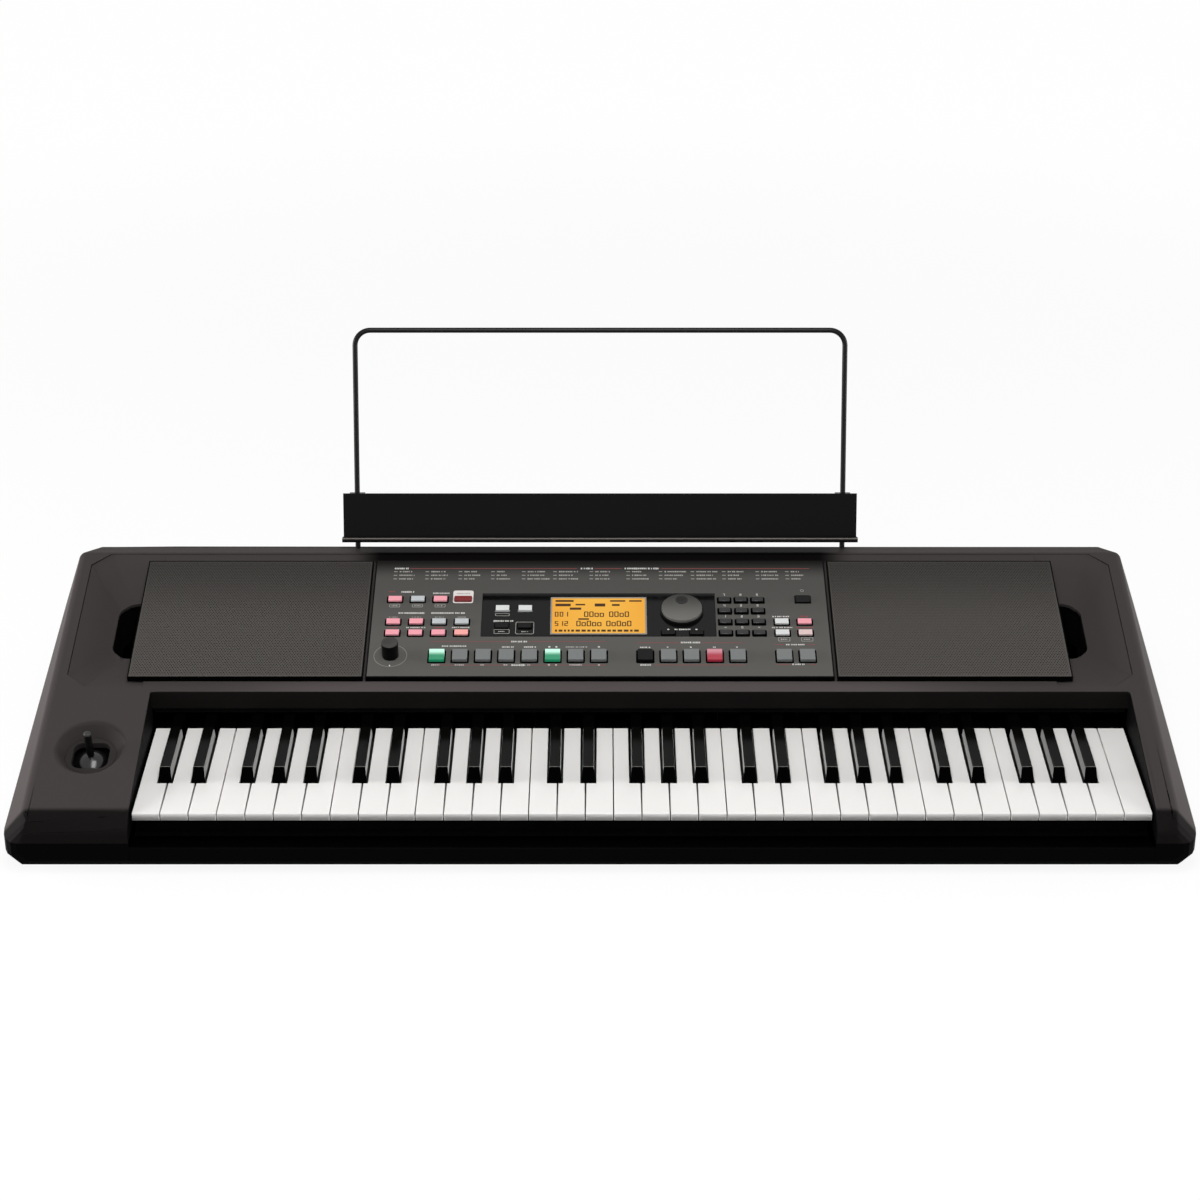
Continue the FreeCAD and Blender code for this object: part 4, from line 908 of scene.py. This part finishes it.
class Drawing:
    def __init__(self, base):
        self.shape = bmesh.new()
        self.base = base

    def loop(self, outline, height):
        return [self.shape.verts.new(slope @ Vector((x, s, self.base + height))) for x, s in outline]

    def face(self, verts, finish):
        self.shape.faces.new(verts).material_index = finish

    def wall(self, near, far, finish):
        for here in range(len(near)):
            after = (here + 1) % len(near)
            self.face((near[here], near[after], far[after], far[here]), finish)

    def plate(self, outline, finish, low=ink_low, high=ink_high):
        under, over = self.loop(outline, low), self.loop(outline, high)
        self.face(over, finish)
        self.face(under[::-1], finish)
        self.wall(under, over, finish)

    def ring(self, outer, inner, finish, low=ink_low, high=ink_high):
        loops = [self.loop(outer, low), self.loop(outer, high), self.loop(inner, high), self.loop(inner, low)]
        for near, far in zip(loops, loops[1:] + loops[:1]):
            self.wall(near, far, finish)

    def bar(self, x0, x1, s, width, finish):
        low, high = s - width / 2, s + width / 2
        self.plate([(x0, low), (x1, low), (x1, high), (x0, high)], finish)

    def red_lines(self, *rows):
        for x0, x1, s in rows:
            self.bar(x0, x1, s, red_width, RED)

    def words(self, x0, x1, s, height, finish):
        x = x0
        while x < x1 - 0.5:
            letter = min(dice.uniform(0.7, 1.6), x1 - x)
            self.bar(x, x + letter, s, height * dice.uniform(0.75, 1.0), finish)
            x += letter + (dice.uniform(0.9, 1.4) if dice.random() < 0.2 else 0.42)

    def labels(self, *rows):
        for row in rows:
            self.words(*row)

    def outlined(self, x, s, width, height, finish, line=0.45, corner=1.2):
        inner = rounded(x, s, width - 2 * line, height - 2 * line, corner * 0.7)
        self.ring(rounded(x, s, width, height, corner), inner, finish)

    def finish(self, name, slot, finishes=ink_finishes):
        on_case(new_piece(name, self.shape, finishes))


def rounded(x, s, width, height, corner):
    outline = []
    for turn, (way_x, way_s) in enumerate(((1, -1), (1, 1), (-1, 1), (-1, -1))):
        centre = (x + way_x * (width / 2 - corner), s + way_s * (height / 2 - corner))
        for step in range(corner_steps + 1):
            angle = math.radians(-90 + 90 * turn + 90 * step / corner_steps)
            outline.append((centre[0] + corner * math.cos(angle), centre[1] + corner * math.sin(angle)))
    return outline


def disc(x, s, radius, steps=24):
    turns = [2 * math.pi * step / steps for step in range(steps)]
    return [(x + radius * math.cos(turn), s + radius * math.sin(turn)) for turn in turns]


# %% [markdown]
# ## Lines and labels on the panel
# Three rows of small legends run along the back, thin red lines frame the groups of buttons, and short labels
# stand above or below the caps. Each label takes its place from the cap it belongs to.

# %% Panel printing
legend = Drawing(panel_n)
# Black rings round the caps are painted shadow where the gaps round the caps lie in shade.
for group in ("mode", "part", "style", "set", "right", "keypad"):
    for x, s, width, length in cap_places[group + "_buttons"]:
        legend.ring(rounded(x, s - 0.5, width + 3.0, length + 3.2, 1.2),
                    rounded(x, s, width + 0.2, length + 0.2, 0.6), GAP_SHADOW, ink_low, 0.03)
legend_line_s = 308.5
for x0, x1 in ((-173.0, -21.0), (-5.0, 20.0), (55.6, 190.6)):
    legend.bar(x0, x1, legend_line_s, 0.55, RED)
for x0, x1 in ((-187.0, -174.5), (-17.5, -6.5), (22.5, 53.5)):
    legend.words(x0, x1, legend_line_s, 2.4, WHITE)
legend_rows = (304.0, 298.9, 293.8)
legend_columns = [(-187.5, 22), (-158.7, 22), (-128.5, 23), (-99.0, 18), (-71.0, 26), (-42.5, 24), (-9.5, 22),
                  (24.0, 22), (53.5, 25), (82.5, 28), (111.0, 24), (141.5, 22), (168.5, 17)]
for x, width in legend_columns:
    for s in legend_rows:
        legend.bar(x, x + 3.2, s, 0.8, GREY)
        legend.words(x + 5.2, x + dice.uniform(0.62, 1.0) * width, s, 1.9, GREY)

# %% Mode and part buttons
mode = cap_places["mode_buttons"]
for x, s, width, length in mode:
    legend.outlined(x, s - 8.6, 9.6, 4.4, GREY)
    legend.words(x - 2.8, x + 2.8, s - 8.6, 1.4, GREY)
mode_x, mode_s = mode[0][:2]
legend.labels((mode_x + 5, mode_x + 16.5, mode_s + 10.4, 2.4, WHITE),
              (mode_x - 6, mode_x - 0.5, mode_s + 10.8, 1.8, RED),
              (mode[2][0] - 7, mode[2][0] + 9, mode_s + 8.6, 1.9, WHITE))

part_x = [cap[0] for cap in cap_places["part_buttons"][:4]]
part_s = cap_places["part_buttons"][0][1]
legend.labels((part_x[0] + 4, part_x[0] + 27, part_s + 12.2, 2.2, WHITE),
              (part_x[1] + 13, part_x[3] + 3, part_s + 12.2, 2.2, WHITE))
for x in part_x:
    legend.words(x - 4, x + 4, part_s + 6.6, 1.2, GREY)
for x, reach, tint in zip(part_x, (4.5, 8.5) * 2, (RED, WHITE) * 2):
    legend.words(x - reach, x + reach, part_s - 7.6, 1.5, tint)

record_x, record_s, record_width, record_length = cap_places["record_button"][0]
plate_width, plate_length = 18.2, 17.4
legend.ring(rounded(record_x, record_s + 3.6, plate_width, plate_length, 2.0),
            rounded(record_x, record_s, record_width + 0.8, record_length + 0.8, 1.6), LABEL)
label_ink = Drawing(panel_n + ink_high)
label_ink.words(record_x - 6, record_x + 6, record_s + 8.0, 1.6, GREY)
label_ink.finish("record_label", "panel_grey")

# %% The long front row
style = cap_places["style_buttons"]
style_x, style_s = [cap[0] for cap in style], style[0][1]
over_s, under_s = style_s + 12.4, style_s - 11.4
for left, right, s in ((-149.4, (-78.5, -64.5), 207.4), (-147.0, (-77.5, -65.5), 176.2)):
    legend.red_lines((left, -80.0, s), (-63.0, 4.8, s))
    legend.words(*right, s, 2.2, WHITE)
legend.labels((style_x[0] + 4, style_x[1] + 6, style_s + 13.6, 1.9, WHITE),
              (style_x[3] - 4, style_x[3] + 7, over_s, 1.9, WHITE),
              (style_x[4] - 5, style_x[4] + 7, over_s, 1.9, WHITE),
              (style_x[6] - 9, style_x[6] + 11, over_s, 1.7, GREY))
for index, x in ((5, -3.0), (5, 3.2), (7, 0.0)):
    for s in (style_s + 12.6, under_s):
        legend.plate(disc(style_x[index] + x, s, 1.05, 14), WHITE)
for index, reach in ((0, 4), (1, 4), (2, 2), (3, 2), (4, 1.5), (6, 5.5)):
    legend.words(style_x[index] - reach, style_x[index] + reach, under_s, 1.6, WHITE)

set_x = [cap[0] for cap in cap_places["set_buttons"]]
legend.red_lines((32.7, 70.0, 205.8), (90.0, 126.8, 205.8), (47.9, 126.8, under_s))
legend.labels((71.5, 88.5, 206.2, 2.3, WHITE),
              (set_x[0] - 4.5, set_x[0] + 4.5, style_s + 12.0, 1.9, WHITE),
              (set_x[0] - 4.5, set_x[0] + 4.8, under_s, 1.9, WHITE))
for x in set_x[1:]:
    legend.words(x - 1.2, x + 1.2, style_s + 12.2, 1.7, WHITE)

# %% The right block, power mark and knob ring
right = cap_places["right_buttons"]
for (x, s, width, length), left, reach, up, height, tint in zip(
        right, (-8, -4, -9, -8), (7, 4, 9, 8), (7.4, 7.6, 7.4, 7.4), (1.9, 1.7, 1.5, 1.5), (WHITE, RED) * 2):
    legend.words(x + left, x + reach, s + up, height, tint)
for x, s, width, length in right[2:4]:
    legend.outlined(x + 1, s - 8.4, 10.5, 5.6, GREY)
    legend.words(x - 2, x + 4, s - 8.4, 1.8, GREY)
pair_left, pair_right = right[4][0], right[5][0]
for up, line_end, word_start, line_start in ((15.6, 1.0, 2.2, 0.5), (-10.6, 5.0, 6.4, 0.8)):
    legend.red_lines((pair_left - 7.5, pair_left + line_end, style_s + up),
                     (pair_right + line_start, pair_right + 7.5, style_s + up))
    legend.words(pair_left + word_start, pair_left + 18.5, style_s + up, 1.9, WHITE)
power_x, power_s = cap_places["power_button"][0][:2]
legend.ring(disc(power_x, power_s + 12.6, 1.6), disc(power_x, power_s + 12.6, 1.2), GREY)
knob_x, knob_s = knob_margin - panel_half_width, row_s(knob_row)
legend.ring(disc(knob_x, knob_s, 14.8, 48), disc(knob_x, knob_s, 14.1, 48), FAINT)
legend.bar(knob_x - 0.5, knob_x + 0.5, knob_s - 13.4, 2.6, WHITE)

# %% [markdown]
# ## Digits
# The keypad's numbers are generic. They and the display's numbers are drawn with seven bars, as on a clock.

# %% Seven-bar digits
bars_of_digit = {0: "abcdef", 1: "bc", 2: "abged", 3: "abgcd", 4: "fgbc", 5: "afgcd", 6: "afgedc", 7: "abc",
                 8: "abcdefg", 9: "abcdfg"}


def digit(drawing, number, x, s, width, height, line, finish):
    left, right_x, foot, head = x - width / 2, x + width / 2, s - height / 2, s + height / 2
    boxes = {"a": (left, right_x, head - line, head), "d": (left, right_x, foot, foot + line),
             "g": (left, right_x, s - line / 2, s + line / 2), "f": (left, left + line, s, head),
             "b": (right_x - line, right_x, s, head), "e": (left, left + line, foot, s),
             "c": (right_x - line, right_x, foot, s)}
    for name in bars_of_digit[number]:
        x0, x1, s0, s1 = boxes[name]
        drawing.plate([(x0, s0), (x1, s0), (x1, s1), (x0, s1)], finish)


keypad_numbers = (7, 8, 9, 4, 5, 6, 1, 2, 3, None, 0, None)
for (x, s, width, length), number in zip(cap_places["keypad_buttons"], keypad_numbers):
    if number is None:
        legend.bar(x - 1.0, x + 1.0, s + 7.6, 0.7, WHITE)
    else:
        digit(legend, number, x, s + 7.6, 1.7, 2.9, 0.5, WHITE)
legend.finish("panel_print", "panel_grey")

# %% [markdown]
# ## Printing on the glossy cover
# The cover carries the menu keys' labels and the outlines round the lower pair.

# %% Cover printing
print_cover = Drawing(panel_n)
menu = cap_places["display_buttons"]
print_cover.outlined(menu[0][0], menu[0][1] - 8.0, 13.0, 3.6, GREY)
print_cover.words(menu[2][0] - 7.5, menu[2][0] + 10.5, menu[2][1] + 6.9, 2.2, WHITE)
print_cover.outlined(menu[2][0], menu[2][1] - 7.4, 14.0, 6.0, GREY)
print_cover.words(menu[2][0] - 3.0, menu[2][0] + 3.0, menu[2][1] - 7.4, 1.5, GREY)
print_cover.ring(rounded(menu[3][0], menu[3][1] - 2.6, 16.6, 16.6, 1.8),
                 rounded(menu[3][0], menu[3][1] - 2.6, 15.6, 15.6, 1.5), GREY)
print_cover.words(menu[3][0] - 3.0, menu[3][0] + 3.0, menu[3][1] - 7.6, 1.4, GREY)
dial_keys = menu[4:6]
print_cover.words(dial_keys[0][0] + 5.5, dial_keys[1][0] - 5.0, dial_keys[0][1] + 5.0, 1.9, WHITE)
for x, s, width, length in dial_keys:
    print_cover.plate(disc(x, s + 5.0, 1.0, 14), WHITE)
print_cover.finish("cover_print", "cover_black")

# %% [markdown]
# ## Display
# A lit amber field in a pale frame, behind the cover's window. The glow is brighter in the middle and deeper
# amber at the ends, as with a lamp behind it. What it shows is generic: two big numbers, blocks in place of
# words, a row of small blocks along the foot and tabs along the head.

# %% Display finishes
display_reach = 0.046
lit_amber = Finish("display_lit")
across = lit_amber.axis("X", (1 / display_reach, 1, 1))
clouds = lit_amber.noise(40.0)
edge = across * across * 0.5 + (clouds - 0.5) * 0.2
lit_amber.surface(Base_Color=colour(60, 38, 10), Roughness=0.25, Specular_IOR_Level=0.2,
                  Emission_Color=lit_amber.blend(edge, colour(250, 186, 66), colour(240, 152, 24)),
                  Emission_Strength=0.88)
lit_ink = Finish("display_ink")
tone = lit_ink.blend(lit_ink.noise(300.0), colour(56, 34, 8), colour(70, 42, 10))
lit_ink.surface(Base_Color=tone, Roughness=0.3, Specular_IOR_Level=0.2)
moulded("display_frame", (140, 134, 126), 0.35, 900, 4, 0.2)
display_finishes = ["display_lit", "display_ink", "display_frame"]
LIT, INK, FRAME = range(3)

# %% Display field
left_x, right_x, foot_s, head_s = -44.3, 41.7, 217.0, 267.8
frame_line = 1.5
centre_x, centre_s = (left_x + right_x) / 2, (foot_s + head_s) / 2
wide, tall = right_x - left_x, head_s - foot_s
lit_height, frame_height = 0.12, 0.3
lit_field = rounded(centre_x, centre_s, wide - 2 * frame_line, tall - 2 * frame_line, 0.6)
display = Drawing(panel_n)
display.ring(rounded(centre_x, centre_s, wide, tall, 1.0), lit_field, FRAME, ink_low, frame_height)
display.plate(lit_field, LIT, ink_low, lit_height)
ink = Drawing(panel_n + lit_height)
letter_step, tall_letter, low_letter = 0.054, 7.4, 5.6


def on_display(across, up):
    return left_x + across * wide, foot_s + up * tall


def block(x0, x1, up, height):
    x, s = on_display(x0, up)
    ink.bar(x, on_display(x1, up)[0], s, height * tall, INK)


def letter_row(x0, count, up):
    for place in range(count):
        x, s = on_display(x0 + place * letter_step, up)
        full = tall_letter if place == 0 or dice.random() < 0.3 else low_letter
        ink.outlined(x + 1.9, s - (tall_letter - full) / 2, 3.9, full, INK, 1.0, 0.9)


for up, numbers in ((0.54, (0, 0, 1)), (0.29, (5, 1, 2))):
    for place, number in enumerate(numbers):
        x, s = on_display(0.065 + 0.05 * place, up)
        digit(ink, number, x, s, 3.2, 6.4, 0.9, INK)
for x0, count, up in ((0.35, 4, 0.54), (0.61, 4, 0.54), (0.27, 5, 0.29), (0.58, 5, 0.29)):
    letter_row(x0, count, up)
for x0, x1, up, height in ((0.05, 0.21, 0.79, 0.07), (0.46, 0.57, 0.79, 0.08), (0.2, 0.32, 0.69, 0.06),
                           (0.62, 0.78, 0.9, 0.04), (0.82, 0.95, 0.9, 0.04), (0.05, 0.24, 0.9, 0.05),
                           (0.29, 0.4, 0.41, 0.04), (0.64, 0.72, 0.79, 0.05), (0.26, 0.36, 0.8, 0.04)):
    block(x0, x1, up, height)
foot_x = 0.05
while foot_x < 0.9:
    size = dice.uniform(0.02, 0.05)
    block(foot_x, foot_x + size, 0.1, 0.055)
    foot_x += size + 0.016
ink.finish("display_ink_marks", "display_amber", display_finishes)
display.finish("display_field", "display_amber", display_finishes)

# %% [markdown]
# ## Solids that stay as they are
# What is out of sight keeps its solid: drivers, boards, felts, springs and sockets only get their finish.

# %% Finishes of the solids that stay
plain_finishes = {
    "tub_black": "lower_case bottom_plate",
    "plain_black": "display_module bass_ducts keybed_frame joystick_cradle "
                   "panel_switches audio_jacks dc_inlet",
    "plated_steel": "speaker_drivers volume_pot dial_encoder usb_socket case_screws",
    "dark_steel": "key_pivot_rod key_spring_comb",
    "board_green": "key_contact_board main_board panel_board",
    "contact_rubber": "key_contact_rubbers",
    "foot_rubber": "rubber_feet",
    "cone_paper": "speaker_cones",
    "felt_black": "key_felts",
}
for finish, solids in plain_finishes.items():
    for node in solids.split():
        nodes[node].data.materials.clear()
        nodes[node].data.materials.append(finish_named[finish])

# %% [markdown]
# ## Floor and light
# A pale floor, one narrow soft box above and in front, and two low side boxes make the studio. The floor and
# the sky are white to the eye and to mirrors, and only a mild grey to bounced light, so the front of the case
# stays dark as in the picture while the floor keeps a faint shadow.

# %% Studio
def seen_directly(finish):
    path = finish.node("ShaderNodeLightPath", output="Is Camera Ray")
    outputs = path.socket.node.outputs
    return path + Value(finish, outputs["Is Glossy Ray"]) + Value(finish, outputs["Is Transmission Ray"])


floor_bounce, floor_white = (0.5, 0.5, 0.5, 1), (0.93, 0.93, 0.93, 1)
sky_bounce, white = (0.2, 0.2, 0.205, 1), (1, 1, 1, 1)
shadow_near, shadow_far = 0.4, 4.0
floor_finish = Finish("pale_floor")
seen = seen_directly(floor_finish)
floor_finish.surface(Base_Color=floor_finish.blend(seen, floor_bounce, floor_white),
                     Roughness=1.0, Specular_IOR_Level=0.0)
floor_x, floor_y = floor_finish.axis("X"), floor_finish.axis("Y")
far_off = floor_finish.ramp(floor_x * floor_x + floor_y * floor_y, shadow_near, shadow_far)
glow = floor_finish.node("ShaderNodeEmission", {"Color": white, "Strength": 1.0})
lit_floor = Value(floor_finish, floor_finish.shader.outputs[0])
mixed = floor_finish.node("ShaderNodeMixShader",
                          {0: seen * (far_off * 0.09 + 0.9), 1: lit_floor, 2: glow})
floor_finish.feed(floor_finish.tree.nodes["Material Output"].inputs["Surface"], mixed)

floor_reach = 9.0
floor_shape = bmesh.new()
bmesh.ops.create_grid(floor_shape, x_segments=4, y_segments=4, size=floor_reach)
floor = new_piece("floor", floor_shape, ["pale_floor"])

world = bpy.data.worlds.new("studio")
world.use_nodes = True
bpy.context.scene.world = world
sky = NodeMaker(world.node_tree)
sky_paint = sky.blend(seen_directly(sky), sky_bounce, white)
sky.feed(sky.tree.nodes["Background"].inputs["Color"], sky_paint)


def soft_box(name, place, aim, size, power):
    lamp = bpy.data.lights.new(name, "AREA")
    lamp.shape = "RECTANGLE"
    lamp.size, lamp.size_y = size
    lamp.energy = power
    box = added(name, lamp)
    box.location = place
    box.rotation_euler = (Vector(aim) - Vector(place)).to_track_quat("-Z", "Y").to_euler()


soft_box("top_box", (0, -1.0, 1.75), (0, 0.0, 0.05), (0.8, 1.5), 31)
soft_box("left_box", (-2.3, 0.0, 0.5), (0, 0, 0.1), (1.4, 0.8), 46)
soft_box("right_box", (2.3, 0.0, 0.5), (0, 0, 0.1), (1.4, 0.8), 30)
